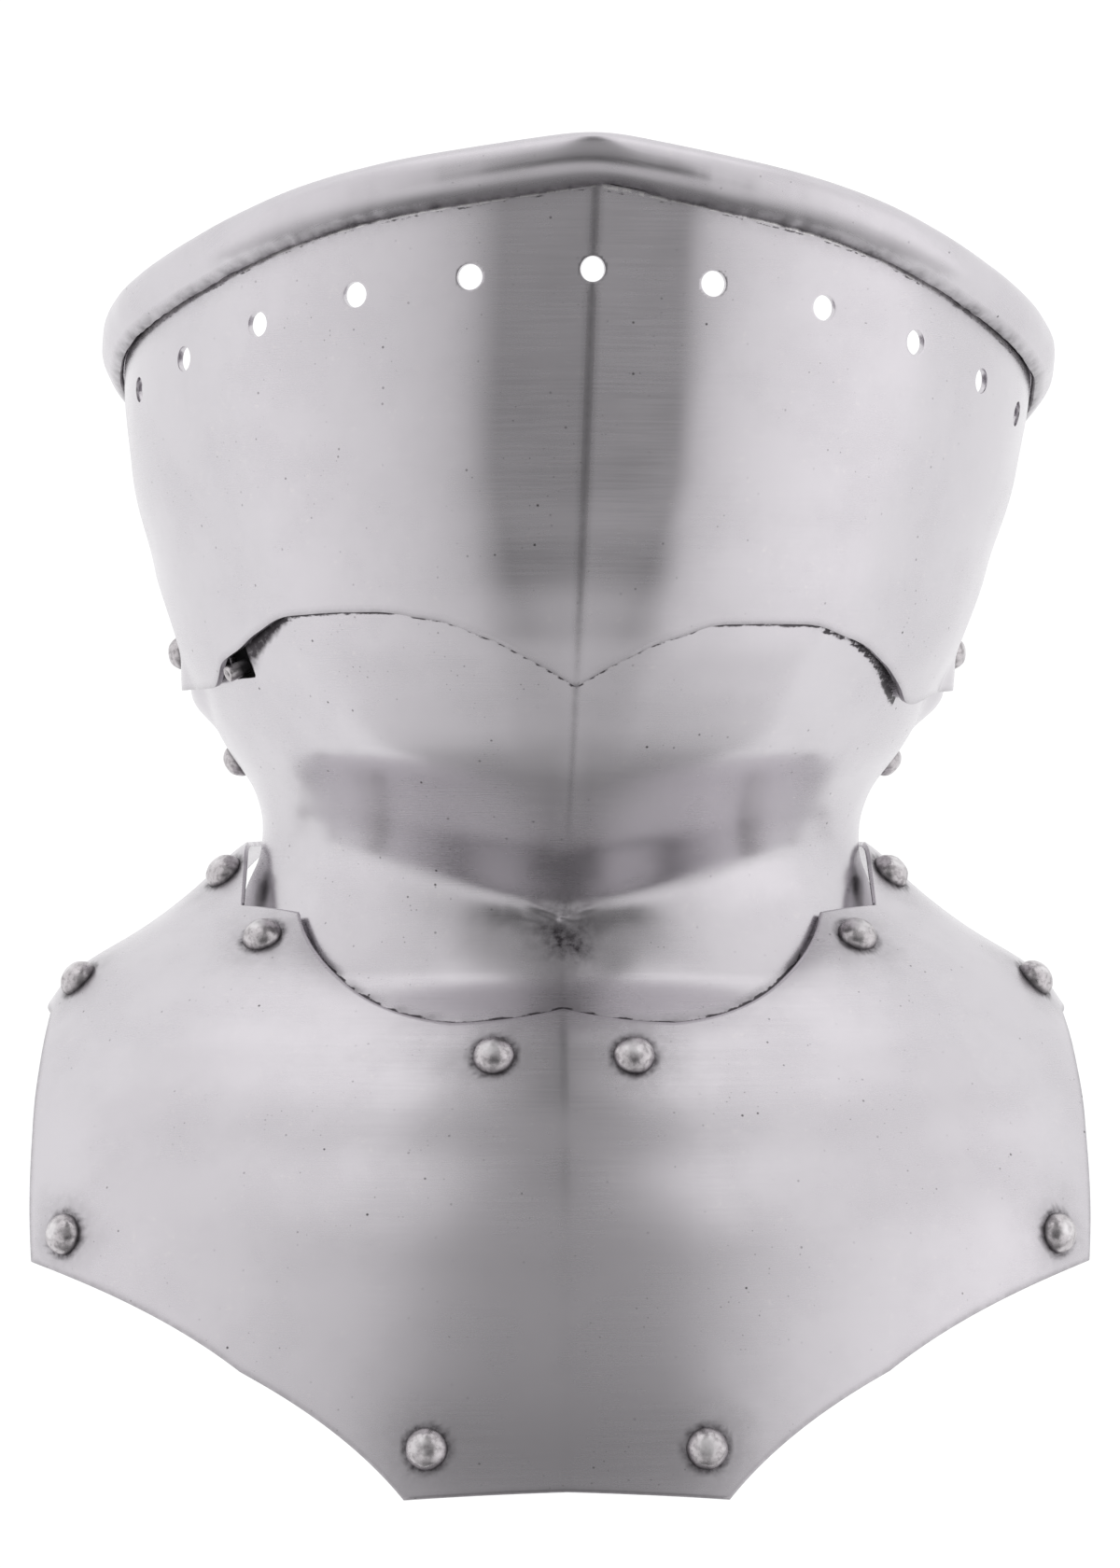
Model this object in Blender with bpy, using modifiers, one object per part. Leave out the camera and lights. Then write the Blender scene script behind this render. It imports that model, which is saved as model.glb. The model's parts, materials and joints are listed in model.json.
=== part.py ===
"""Steel bevor gorget: a falling face plate, a chin plate and a riveted chest bib.

The piece lies on its open back on Z = 0, as it would by itself. X runs to the viewer's
right, Y up along the wearer, and Z toward the viewer. Heights in the tables are measured
along Y from the hinge line, and depths along Z from it. All sizes are in metres.
"""

import math
from collections import namedtuple

import bmesh
import bpy
from mathutils import Matrix, Vector
from mathutils.bvhtree import BVHTree



def table(columns, rows):
    """Rows whose columns have names."""
    row_type = namedtuple("Row", columns)
    return [row_type(*row) for row in rows]


# Sheet and clearances
WALL = 0.0015
GAP = 0.0003
LAP_GAP = 0.0009
SIDE_GAP = 0.0010

# Upper plates
RIM_HEIGHT = 0.108
NECK_DROP = 0.066
NECK_HALF_WIDTH = 0.0775
FACE_HALF_WIDTH = 0.1135
FACE_DEPTH = 0.1115
BACK_DEPTH = 0.105
CREASE_CLIMB = 0.0180
CREASE_ROUND = 0.12
KEEL = 0.0020
KEEL_HALF_WIDTH = 0.021
LEAN = 0.037
RIM_TILT = 0.0030
EDGE_DROP = 0.010
FACE_BACK = 0.030
REST_DEPTH = 0.038
BACK_TRIM = 0.003

# Hinge pads
PIVOT_HALF_WIDTH = 0.0970
PAD_RADIUS = 0.0095
PAD_BLEND_RADIUS = 0.0200

# Rolled rim
ROLL_HEIGHT = 0.0136
ROLL_HALF_GAP = 0.0022
ROLL_TOP = 0.0036
ROLL_TUCK = 0.0016
# The front of the roll, outward in shares of ROLL_HALF_GAP and up in shares of its rise
ROLL_BULGE = namedtuple("Place", "out up")(2.15, 0.35)
ROLL_LIP_OUT = 0.85

# Lining holes
LINING_HOLE_RADIUS = 0.0031
LINING_HOLE_STEP = math.radians(14.7)
LINING_HOLES_A_SIDE = 6
LINING_DROP = 0.0194

# Bib
BIB_DROP = 0.200
BIB_HALF_WIDTH = 0.130
BIB_DEPTH = 0.117
BIB_KEEL = 0.0014
BIB_KEEL_HALF_WIDTH = 0.045

# Rivets
RIVET_RADIUS = 0.0050
RIVET_HEIGHT = 0.0042
RIVET_SHANK_RADIUS = 0.0020
RIVET_END_RADIUS = 0.0033
RIVET_END_FLAT_RADIUS = 0.0026
RIVET_END_HEIGHT = 0.0012
RIVET_SEAT_GAP = 0.0008
SIDE_RIVET_RADIUS = 0.0042
SIDE_RIVET_HEIGHT = 0.0036
# A rivet head's profile in shares of its radius and height
DOME = table("across up", [
    (0.00, 1.00),
    (0.36, 0.93),
    (0.68, 0.72),
    (0.91, 0.38),
    (1.00, 0.00),
])

# Catch
STUD_RADIUS = 0.0020
STUD_PROUD = 0.0036
STUD_ANGLE = math.radians(-61.3)
STUD_HEIGHT = -0.0049
WINDOW_WIDTH = 0.0105
WINDOW_HEIGHT = 0.0105
WINDOW_TURN = math.radians(1.1)
WINDOW_RISE = 0.0027
LEAF_THICKNESS = 0.0010
LEAF_GAP = 0.0009
LEAF_HALF_WIDTH = 0.0068
LEAF_RISE = 0.0018
LEAF_OVERHANG = math.radians(4.5)
LEAF_ANGLE = math.radians(-38)
LEAF_DROP = 0.0100
LEAF_RIVET_RADIUS = 0.0017
LEAF_RIVET_SETBACK = math.radians(4)
LEAF_RIVET_RISE = 0.0010

# Distances from the middle line are 1 at NECK_HALF_WIDTH, and 2 at the half-width of the
# face or of the bib.

# Plan sections of the upper plates. The height is a share of RIM_HEIGHT above the hinge
# line and of NECK_DROP below it, and depth and keel are shares of FACE_DEPTH, KEEL and
# KEEL_HALF_WIDTH.
FORM = table("height width depth keel keel_width", [
    (1.20, 2.028, 0.996, 1.00, 1.00),
    (0.70, 2.013, 1.000, 1.00, 1.00),
    (0.45, 1.946, 0.996, 1.00, 1.00),
    (0.22, 1.770, 0.978, 0.80, 0.82),
    (0.04, 1.625, 0.951, 0.52, 0.56),
    (-0.12, 1.477, 0.919, 0.34, 0.38),
    (-0.25, 1.379, 0.888, 0.22, 0.26),
    (-0.39, 1.237, 0.848, 0.15, 0.20),
    (-0.57, 1.032, 0.776, 0.15, 0.20),
    (-0.68, 0.999, 0.726, 0.15, 0.22),
    (-0.76, 1.004, 0.686, 0.14, 0.26),
    (-0.85, 1.070, 0.632, 0.12, 0.35),
    (-1.00, 1.180, 0.575, 0.15, 0.80),
    (-1.16, 1.433, 0.596, 0.40, 1.40),
])
# How far the crease at the neck climbs from the middle to each side, in shares of
# CREASE_CLIMB, at heights in shares of NECK_DROP.
CREASE_FADE = table("height share", [
    (-0.38, 0.00),
    (-0.76, 1.00),
    (-0.92, 1.00),
    (-1.20, 0.00),
])
# The flange follows the inside of the bib from here down: the drop and width are
# shares of BIB_DROP and of the bib's own half-width there.
FLANGE = table("drop width", [
    (0.45, 0.82),
    (0.50, 0.85),
    (0.54, 0.88),
])

# Heights along the falling plate by angle from the front, in degrees: the foot of the
# roll in shares of RIM_HEIGHT, and the lining holes' drop below it in LINING_DROP.
RIM = table("angle foot holes", [
    (0.0, 1.000, 1.00),
    (14.7, 0.957, 0.88),
    (30.8, 0.902, 0.82),
    (44.4, 0.832, 0.75),
    (59.0, 0.750, 0.68),
    (74.4, 0.678, 0.62),
    (90.0, 0.608, 0.58),
    (107.0, 0.520, 0.55),
])

# The falling plate's lower edge in shares of EDGE_DROP: a pointed tip, then on each side
# an arch and a cusp, which sit lower on the viewer's right.
LOWER_EDGE = table("angle left right", [
    (0.0, -1.00, -1.00),
    (7.0, -0.33, -0.33),
    (14.0, 0.24, 0.18),
    (22.5, 0.66, 0.50),
    (31.0, 0.80, 0.52),
    (41.0, 0.76, 0.24),
    (50.5, 0.36, -0.31),
    (56.0, -0.03, -0.71),
    (60.0, -0.22, -1.04),
    (63.0, -0.40, -1.29),
    (65.0, -0.66, -1.34),
    (70.0, -0.94, -1.24),
    (76.0, -0.95, -1.08),
    (84.0, -0.95, -0.98),
    (94.0, -0.88, -0.88),
    (98.0, -0.45, -0.45),
    (102.0, 0.40, 0.40),
    (107.0, 1.50, 1.50),
])

# The chin plate's hidden upper edge with its ear at each pivot, in shares of
# RIM_HEIGHT, and the foot of its flange, in shares of BIB_DROP.
CHIN_EDGE = table("angle top foot", [
    (0.0, 0.205, -0.525),
    (20.0, 0.205, -0.521),
    (45.0, 0.190, -0.469),
    (65.0, 0.150, -0.383),
    (80.0, 0.115, -0.347),
    (86.0, 0.100, -0.337),
    (90.0, 0.094, -0.333),
    (93.0, 0.070, -0.330),
    (95.0, 0.010, -0.327),
    (97.0, -0.045, -0.327),
    (103.0, -0.090, -0.320),
    (114.0, -0.135, -0.310),
])

# Where the gap in the lap takes up SIDE_GAP too, so that the falling plate clears the
# chin plate as it turns.
SIDE_CLEARANCE = table("angle share", [
    (25.0, 0.00),
    (30.0, 0.10),
    (50.0, 1.00),
    (62.0, 1.00),
    (77.0, 0.15),
    (82.0, 0.00),
])

# Horizontal sections of the bib, with drop and depth in shares of BIB_DROP and BIB_DEPTH.
BIB = table("drop width depth", [
    (0.20, 0.822, 0.260),
    (0.24, 1.022, 0.342),
    (0.28, 1.188, 0.397),
    (0.32, 1.369, 0.453),
    (0.35, 1.530, 0.498),
    (0.41, 1.871, 0.596),
    (0.44, 1.950, 0.641),
    (0.50, 2.124, 0.718),
    (0.60, 2.285, 0.812),
    (0.75, 2.371, 0.915),
    (1.02, 2.409, 1.000),
])

# The bib's outline on the viewer's right, in stretches from the front to the back. Each
# row holds one stretch of the neckline and of the outer edge as start, middle and end,
# each a distance from the middle line and a drop in shares of BIB_DROP.
OUTLINE = table("steps neck hem", [
    (3, ((0.000, 0.435), (0.168, 0.447), (0.346, 0.452)),
     ((0.000, 0.9985), (0.248, 1.003), (0.498, 1.010))),
    (9, ((0.346, 0.452), (0.545, 0.436), (0.691, 0.402)),
     ((0.498, 1.010), (1.069, 0.853), (1.990, 0.748))),
    (4, ((0.691, 0.402), (0.785, 0.362), (0.829, 0.322)),
     ((1.990, 0.748), (2.002, 0.670), (1.995, 0.590))),
    (3, ((0.829, 0.322), (0.919, 0.317), (1.019, 0.314)),
     ((1.995, 0.590), (1.988, 0.555), (1.975, 0.520))),
    (4, ((1.019, 0.314), (1.014, 0.275), (1.010, 0.2375)),
     ((1.975, 0.520), (1.958, 0.485), (1.936, 0.450))),
])
# Behind that the bib goes over the shoulder to the surface it rests on, in degrees.
SHOULDER_STEPS = 4
SHOULDER_NECK_DROP = 0.2375
SHOULDER_END_DROP = 0.420

# Rivets of the bib, and whether they pass through the flange of the chin plate too.
BIB_RIVETS = table("name across drop through_flange", [
    ("bib_front_rivet", 0.218, 0.492, True),
    ("bib_collar_rivet", 0.944, 0.352, False),
    ("bib_nape_rivet", 1.109, 0.276, False),
    ("bib_shoulder_rivet", 1.797, 0.408, False),
    ("bib_side_rivet", 1.827, 0.712, False),
    ("bib_hem_rivet", 0.428, 0.950, False),
])
JAW_RIVET_ANGLE = math.radians(96)
JAW_RIVET_DROP = 0.41

# Columns of the plates' meshes in front of their backs.
SPANS = table("end_degrees steps", [
    (65.0, 10),
    (82.0, 3),
    (98.0, 5),
])
BACK_STEPS = 2
FACE_ROWS = 7
FACE_ROW_CROWDING = 1.4
ROLL_ARC_STEPS = 5
ROLL_SIDE_STEPS = 3
CHIN_ROWS = 12
BIB_ROWS = 8
LEAF_STEPS = 8
ROUND_SIDES = 10
PROBE_TURN = 0.004
PROBE_STEP = 0.0004
HOLE_REACH = 0.0045
SEAT_REACH = 0.006
REST_BLOCK = 0.4

STEEL = (0.43, 0.42, 0.43, 1.0)
RIVET_STEEL = (0.36, 0.35, 0.36, 1.0)


def clear_scene():
    for thing in list(bpy.data.objects):
        bpy.data.objects.remove(thing, do_unlink=True)


def mix(start, end, share):
    return start + (end - start) * share


def smooth_step(start, end, value):
    share = min(1.0, max(0.0, (value - start) / (end - start)))
    return share * share * (3 - 2 * share)


def curve_through(rows, value):
    """A table's row at a value of its first column, smooth and without overshoot."""
    rows = sorted(rows)
    value = min(rows[-1][0], max(rows[0][0], value))
    index = 0
    while index < len(rows) - 2 and value > rows[index + 1][0]:
        index += 1
    low, high = rows[index], rows[index + 1]
    span = high[0] - low[0]
    share = (value - low[0]) / span
    result = [value]
    for column in range(1, len(low)):
        rise = (high[column] - low[column]) / span
        slopes = []
        for place, other in ((index, index - 1), (index + 1, index + 2)):
            if 0 <= other < len(rows):
                reach = rows[other][0] - rows[place][0]
                outer = (rows[other][column] - rows[place][column]) / reach
                slopes.append(2 * rise * outer / (rise + outer) if rise * outer > 0 else 0.0)
            else:
                slopes.append(rise)
        start = low[column] + slopes[0] * span * share
        end = high[column] - slopes[1] * span * (1 - share)
        blend = share * share * (3 - 2 * share)
        result.append(mix(start, end, blend))
    return type(low)(*result)


def distance_out(share, widest):
    """A distance from the middle line: 1 is at the neck's side, and 2 at the widest."""
    if share < 1:
        return share * NECK_HALF_WIDTH
    return mix(NECK_HALF_WIDTH, widest, share - 1)


def bib_section(height):
    """The bib's half-width and depth at a height."""
    section = curve_through(BIB, -height / BIB_DROP)
    return distance_out(section.width, BIB_HALF_WIDTH), BIB_DEPTH * section.depth


def form_stations():
    """Stations of the upper plates' outer form in metres, from the rim to the flange."""
    stations = []
    for row in FORM:
        unit = RIM_HEIGHT if row.height > 0 else NECK_DROP
        stations.append((
            row.height * unit,
            distance_out(row.width, FACE_HALF_WIDTH),
            row.depth * FACE_DEPTH,
            row.keel * KEEL,
            row.keel_width * KEEL_HALF_WIDTH,
        ))
    for row in FLANGE:
        height = -row.drop * BIB_DROP
        half_width, depth = bib_section(height)
        stations.append((
            height,
            half_width * row.width,
            depth,
            BIB_KEEL,
            BIB_KEEL_HALF_WIDTH,
        ))
    return table("height half_width depth keel keel_half_width", stations)


STATIONS = form_stations()


def lean_at(height):
    """How far the upper plates lean to the viewer's right at a height above the flange."""
    return LEAN * max(0.0, height - FORM[-1].height * NECK_DROP)


def oval(angle, half_width, depth, back_depth):
    """A plan section's point at an angle from the front."""
    reach = depth if math.cos(angle) > 0 else back_depth
    return half_width * math.sin(angle), reach * math.cos(angle)


def ridge(x, keel, keel_half_width):
    """Height of a keel with hollow flanks."""
    share = max(0.0, 1 - abs(x) / keel_half_width)
    return keel * share * share


def crease_climb(angle, height):
    """How much higher the form's front-to-back curve lies at an angle than in front."""
    side = math.hypot(math.sin(angle), CREASE_ROUND) - CREASE_ROUND
    return CREASE_CLIMB * side * curve_through(CREASE_FADE, height / NECK_DROP).share


def form_point(angle, height, inset=0.0):
    """A point of the upper plates' form, or of a sheet that lies inside it."""
    station = curve_through(STATIONS, height)
    depth = curve_through(STATIONS, height - crease_climb(angle, height)).depth
    x, z = oval(angle, station.half_width - inset, depth - inset, BACK_DEPTH - inset)
    if math.cos(angle) > 0:
        z += ridge(x, station.keel, station.keel_half_width)
    x += lean_at(height)
    pad = math.copysign(PIVOT_HALF_WIDTH - inset, angle) + lean_at(0)
    x = mix(pad, x, smooth_step(PAD_RADIUS, PAD_BLEND_RADIUS, math.hypot(z, height)))
    return Vector((x, height, z))


def chin_inset(angle):
    """How far the chin plate's outer face lies inside the form."""
    share = curve_through(SIDE_CLEARANCE, abs(math.degrees(angle))).share
    return WALL + LAP_GAP + SIDE_GAP * share


def chin_point(angle, height, inset=0.0):
    """A point of the chin plate's outer face, or below it by an inset."""
    return form_point(angle, height, chin_inset(angle) + inset)


def bib_point(angle, height, inset=0.0):
    """A point of the bib's outer face."""
    half_width, depth = bib_section(height)
    x, z = oval(angle, half_width - inset, depth - inset, BACK_DEPTH - inset)
    if math.cos(angle) > 0:
        z += ridge(x, BIB_KEEL, BIB_KEEL_HALF_WIDTH)
    return Vector((x, height, z))


def bib_angle(across, height):
    """The angle at which the bib reaches a distance across."""
    half_width = bib_section(height)[0]
    return math.asin(max(-1.0, min(1.0, across / half_width)))


def face_at(surface, angle, height, inset=0.0):
    """A frame on a surface: Z out of the sheet, Y up along it, with its origin on it."""
    origin = surface(angle, height, inset)
    across = surface(angle + PROBE_TURN, height, inset) - surface(angle - PROBE_TURN, height, inset)
    along = surface(angle, height + PROBE_STEP, inset) - surface(angle, height - PROBE_STEP, inset)
    out = across.cross(along).normalized()
    up = (along - out * along.dot(out)).normalized()
    right = up.cross(out)
    frame = Matrix((right, up, out)).transposed().to_4x4()
    frame.translation = origin
    return frame


def steel(name, colour):
    """A steel of its own for each sub-part."""
    material = bpy.data.materials.new(name)
    material.use_nodes = True
    shader = material.node_tree.nodes["Principled BSDF"]
    shader.inputs["Base Color"].default_value = colour
    shader.inputs["Metallic"].default_value = 1.0
    shader.inputs["Roughness"].default_value = 0.34
    return material


def add_object(mesh, name, collection, colour=STEEL):
    """Name an object, give it its steel and shade its rounds."""
    thing = bpy.data.objects.new(name, mesh)
    collection.objects.link(thing)
    mesh.materials.append(steel(name + "_steel", colour))
    mesh.shade_smooth()
    mesh.set_sharp_from_angle(angle=math.radians(30))
    return thing


def sheet_mesh(name, columns, rows, place):
    """A grid whose vertex in a column and a row goes where place says."""
    mesh = bpy.data.meshes.new(name)
    sheet = bmesh.new()
    bmesh.ops.create_grid(sheet, x_segments=columns, y_segments=rows, size=1.0)
    for vertex in sheet.verts:
        column = round((vertex.co.x + 1) / 2 * columns)
        row = round((vertex.co.y + 1) / 2 * rows)
        vertex.co = place(column, row)
    sheet.to_mesh(mesh)
    sheet.free()
    return mesh


def seated(frame, plate):
    """Slide a frame along its Z onto the faces of a plate's sheet."""
    sheet = plate.data
    corners = [vertex.co for vertex in sheet.vertices]
    tree = BVHTree.FromPolygons(corners, [face.vertices for face in sheet.polygons])
    out = frame.col[2].to_3d()
    place = frame.copy()
    place.translation = tree.ray_cast(frame.translation + out * SEAT_REACH, -out)[0]
    return place


def thicken(thing, thickness=WALL):
    solid = thing.modifiers.new("wall", "SOLIDIFY")
    solid.thickness = thickness
    solid.offset = -1
    solid.use_even_offset = True


def combine(thing, shapes, operation, cutters):
    """Cut a bmesh's closed shapes out of an object, or join them to it."""
    name = f"{thing.name}_{operation.lower()}"
    mesh = bpy.data.meshes.new(name)
    shapes.to_mesh(mesh)
    shapes.free()
    tool = bpy.data.objects.new(name, mesh)
    tool.hide_render = True
    tool.display_type = "WIRE"
    cutters.objects.link(tool)
    boolean = thing.modifiers.new(operation.lower(), "BOOLEAN")
    boolean.operation = operation
    boolean.object = tool


def column_angles(back_edge):
    """Angles of the mesh's columns on both sides, up to the back edge's angle."""
    angles = [0.0]
    for end, steps in SPANS + [(math.degrees(back_edge), BACK_STEPS)]:
        start = angles[-1]
        angles += [mix(start, end, (step + 1) / steps) for step in range(steps)]
    half = [math.radians(angle) for angle in angles]
    return [-angle for angle in reversed(half[1:])] + half


def back_angle(depth_behind):
    """The angle at which a plate reaches a depth behind the hinge line."""
    return math.acos(-depth_behind / BACK_DEPTH)


def roll_path():
    """The rolled rim's path, outward from the sheet and up from the foot of the roll."""
    rise = ROLL_HEIGHT - WALL - ROLL_TOP
    path = [(0.0, rise / 2), (0.0, rise)]
    for step in range(1, ROLL_ARC_STEPS + 1):
        turn = math.pi * step / ROLL_ARC_STEPS
        path.append((ROLL_HALF_GAP * (1 - math.cos(turn)), rise + ROLL_TOP * math.sin(turn)))
    front = path[-1]
    bulge = (ROLL_HALF_GAP * ROLL_BULGE.out, rise * ROLL_BULGE.up)
    lip = (ROLL_HALF_GAP * ROLL_LIP_OUT, ROLL_TUCK)
    for step in range(1, ROLL_SIDE_STEPS + 1):
        share = step / ROLL_SIDE_STEPS
        path.append(tuple(
            mix(mix(start, middle, share), mix(middle, end, share), share)
            for start, middle, end in zip(front, bulge, lip)
        ))
    return path


def outward(angle):
    """The plan direction square to the falling plate's rim, without its keel."""
    depth = FACE_DEPTH if math.cos(angle) > 0 else BACK_DEPTH
    return Vector((depth * math.sin(angle), 0, FACE_HALF_WIDTH * math.cos(angle))).normalized()


def rim_heights(angle):
    """Heights of the foot of the roll and of the lining holes at an angle."""
    rim = curve_through(RIM, abs(math.degrees(angle)))
    foot = rim.foot * RIM_HEIGHT - RIM_TILT * math.sin(angle)
    return foot, foot - rim.holes * LINING_DROP


def build_falling_plate(parts, cutters):
    angles = column_angles(back_angle(FACE_BACK))
    path = roll_path()

    def place(column, row):
        angle = angles[column]
        foot = rim_heights(angle)[0]
        if row > FACE_ROWS:
            out, up = path[row - FACE_ROWS - 1]
            rim = form_point(angle, foot + min(up, path[1][1]))
            return rim + outward(angle) * out + Vector((0, foot + up - rim.y, 0))
        edge = curve_through(LOWER_EDGE, abs(math.degrees(angle)))
        low = (edge.right if angle > 0 else edge.left) * EDGE_DROP
        return form_point(angle, mix(low, foot, (row / FACE_ROWS) ** FACE_ROW_CROWDING))

    rows = FACE_ROWS + len(path)
    mesh = sheet_mesh("falling_plate", len(angles) - 1, rows, place)
    plate = add_object(mesh, "falling_plate", parts)
    thicken(plate)
    holes = bmesh.new()
    for number in range(-LINING_HOLES_A_SIDE, LINING_HOLES_A_SIDE + 1):
        angle = number * LINING_HOLE_STEP
        hole(holes, face_at(form_point, angle, rim_heights(angle)[1]), LINING_HOLE_RADIUS)
    for side in (-1, 1):
        hole(holes, face_at(form_point, side * math.pi / 2, 0.0), RIVET_SHANK_RADIUS + GAP)
    combine(plate, holes, "DIFFERENCE", cutters)
    return plate


def build_chin_plate(parts, cutters):
    angles = column_angles(back_angle(REST_DEPTH + BACK_TRIM))

    def place(column, row):
        angle = angles[column]
        edge = curve_through(CHIN_EDGE, abs(math.degrees(angle)))
        height = mix(edge.foot * BIB_DROP, edge.top * RIM_HEIGHT, row / CHIN_ROWS)
        return chin_point(angle, height)

    mesh = sheet_mesh("chin_plate", len(angles) - 1, CHIN_ROWS, place)
    plate = add_object(mesh, "chin_plate", parts)
    thicken(plate)
    holes = bmesh.new()
    block(holes, rest_block_frame(), (REST_BLOCK,) * 3)
    window = face_at(chin_point, STUD_ANGLE + WINDOW_TURN, STUD_HEIGHT + WINDOW_RISE)
    block(holes, window, (WINDOW_WIDTH, WINDOW_HEIGHT, 2 * HOLE_REACH))
    hole(holes, leaf_rivet_frame(), LEAF_RIVET_RADIUS + GAP)
    for side in (-1, 1):
        hole(holes, jaw_rivet_frame(side), RIVET_SHANK_RADIUS + GAP)
        hole(holes, face_at(chin_point, side * math.pi / 2, 0.0), RIVET_SHANK_RADIUS + GAP)
        for row in BIB_RIVETS:
            if row.through_flange:
                hole(holes, bib_rivet_frame(side, row), RIVET_SHANK_RADIUS + GAP)
    combine(plate, holes, "DIFFERENCE", cutters)
    return plate


def curve_of_three(points, share):
    """A point of the curve through a start, a middle and an end."""
    weights = ((1 - share) * (1 - 2 * share), 4 * share * (1 - share), share * (2 * share - 1))
    return tuple(
        sum(weight * value for weight, value in zip(weights, values))
        for values in zip(*points)
    )


def bib_place(across, drop):
    """The angle and height of a place in the outline."""
    height = -drop * BIB_DROP
    out = math.copysign(distance_out(abs(across), BIB_HALF_WIDTH), across)
    return bib_angle(out, height), height


def bib_edges():
    """Places along the neckline and the outer edge, from the front to the viewer's right."""
    columns = []
    for row in OUTLINE:
        for step in range(row.steps):
            share = step / row.steps
            columns.append([bib_place(*curve_of_three(edge, share)) for edge in (row.neck, row.hem)])
    shoulder = [bib_place(*edge[-1]) for edge in (OUTLINE[-1].neck, OUTLINE[-1].hem)]
    end = back_angle(REST_DEPTH + BACK_TRIM)
    back = [(end, -SHOULDER_NECK_DROP * BIB_DROP), (end, -SHOULDER_END_DROP * BIB_DROP)]
    for step in range(SHOULDER_STEPS + 1):
        share = step / SHOULDER_STEPS
        columns.append([
            tuple(mix(start, stop, share) for start, stop in zip(*ends))
            for ends in zip(shoulder, back)
        ])
    return columns


def build_bib(parts, cutters):
    half = bib_edges()
    mirrored = [[(-angle, height) for angle, height in column] for column in reversed(half[1:])]
    columns = mirrored + half

    def place(column, row):
        neck, hem = columns[column]
        share = row / BIB_ROWS
        return bib_point(mix(hem[0], neck[0], share), mix(hem[1], neck[1], share))

    mesh = sheet_mesh("bib_plate", len(columns) - 1, BIB_ROWS, place)
    plate = add_object(mesh, "bib_plate", parts)
    thicken(plate)
    holes = bmesh.new()
    block(holes, rest_block_frame(), (REST_BLOCK,) * 3)
    for row in BIB_RIVETS:
        for side in (-1, 1):
            hole(holes, bib_rivet_frame(side, row), RIVET_SHANK_RADIUS + GAP)
    combine(plate, holes, "DIFFERENCE", cutters)
    return plate


def bar(shapes, frame, radius, low, high):
    """A round bar along a frame's Z, from low to high."""
    middle = frame @ Matrix.Translation((0, 0, (low + high) / 2))
    bmesh.ops.create_cone(
        shapes, cap_ends=True, segments=ROUND_SIDES, radius1=radius, radius2=radius,
        depth=high - low, matrix=middle
    )


def hole(shapes, frame, radius):
    """A round cutter through one sheet."""
    bar(shapes, frame, radius, -HOLE_REACH, HOLE_REACH)


def block(shapes, frame, size):
    """A block centred on a frame."""
    scale = Matrix.Diagonal((*size, 1.0))
    bmesh.ops.create_cube(shapes, size=1.0, matrix=frame @ scale)


def rest_block_frame():
    """The block that trims the back edges has its top on the surface they rest on."""
    return Matrix.Translation((0, 0, -REST_DEPTH - REST_BLOCK / 2))


def jaw_rivet_frame(side):
    return face_at(chin_point, side * JAW_RIVET_ANGLE, -JAW_RIVET_DROP * NECK_DROP)


def bib_rivet_frame(side, row):
    return face_at(bib_point, *bib_place(side * row.across, row.drop))


def leaf_rivet_frame():
    height = STUD_HEIGHT - LEAF_DROP + LEAF_RIVET_RISE
    return face_at(chin_point, LEAF_ANGLE - LEAF_RIVET_SETBACK, height)


def build_catch(parts, cutters):
    """The leaf inside the chin plate, with its stud and its flush rivet."""
    inset = WALL + LEAF_GAP

    def place(column, row):
        share = column / LEAF_STEPS
        angle = mix(STUD_ANGLE - LEAF_OVERHANG, LEAF_ANGLE, share)
        middle = STUD_HEIGHT + LEAF_RISE - LEAF_DROP * share
        return chin_point(angle, middle + LEAF_HALF_WIDTH * (row - 1), inset)

    mesh = sheet_mesh("catch_spring", LEAF_STEPS, 2, place)
    leaf = add_object(mesh, "catch_spring", parts, RIVET_STEEL)
    thicken(leaf, LEAF_THICKNESS)
    root = inset + LEAF_THICKNESS / 2
    bars = bmesh.new()
    stud = face_at(chin_point, STUD_ANGLE, STUD_HEIGHT)
    bar(bars, stud, STUD_RADIUS, -root, STUD_PROUD)
    bar(bars, leaf_rivet_frame(), LEAF_RIVET_RADIUS, -root, 0.0)
    combine(leaf, bars, "UNION", cutters)


def build_rivet(name, frame, grip, parts, radius=RIVET_RADIUS, height=RIVET_HEIGHT):
    """A domed rivet: head, shank through the sheets and the peened end inside."""
    seat = RIVET_SEAT_GAP
    inner = -grip - seat
    profile = [(radius * row.across, seat + height * row.up) for row in DOME]
    profile += [(RIVET_SHANK_RADIUS, seat), (RIVET_SHANK_RADIUS, inner)]
    profile += [(RIVET_END_RADIUS, inner), (RIVET_END_FLAT_RADIUS, inner - RIVET_END_HEIGHT)]
    profile.append((0.0, inner - RIVET_END_HEIGHT))
    mesh = bpy.data.meshes.new(name)
    points = [(across, 0.0, up) for across, up in profile]
    mesh.from_pydata(points, [(i, i + 1) for i in range(len(points) - 1)], [])
    rivet = add_object(mesh, name, parts, RIVET_STEEL)
    rivet.matrix_world = frame
    screw = rivet.modifiers.new("turn", "SCREW")
    screw.steps = ROUND_SIDES
    screw.render_steps = ROUND_SIDES
    screw.use_merge_vertices = True
    screw.merge_threshold = 0.00001
    return rivet


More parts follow.
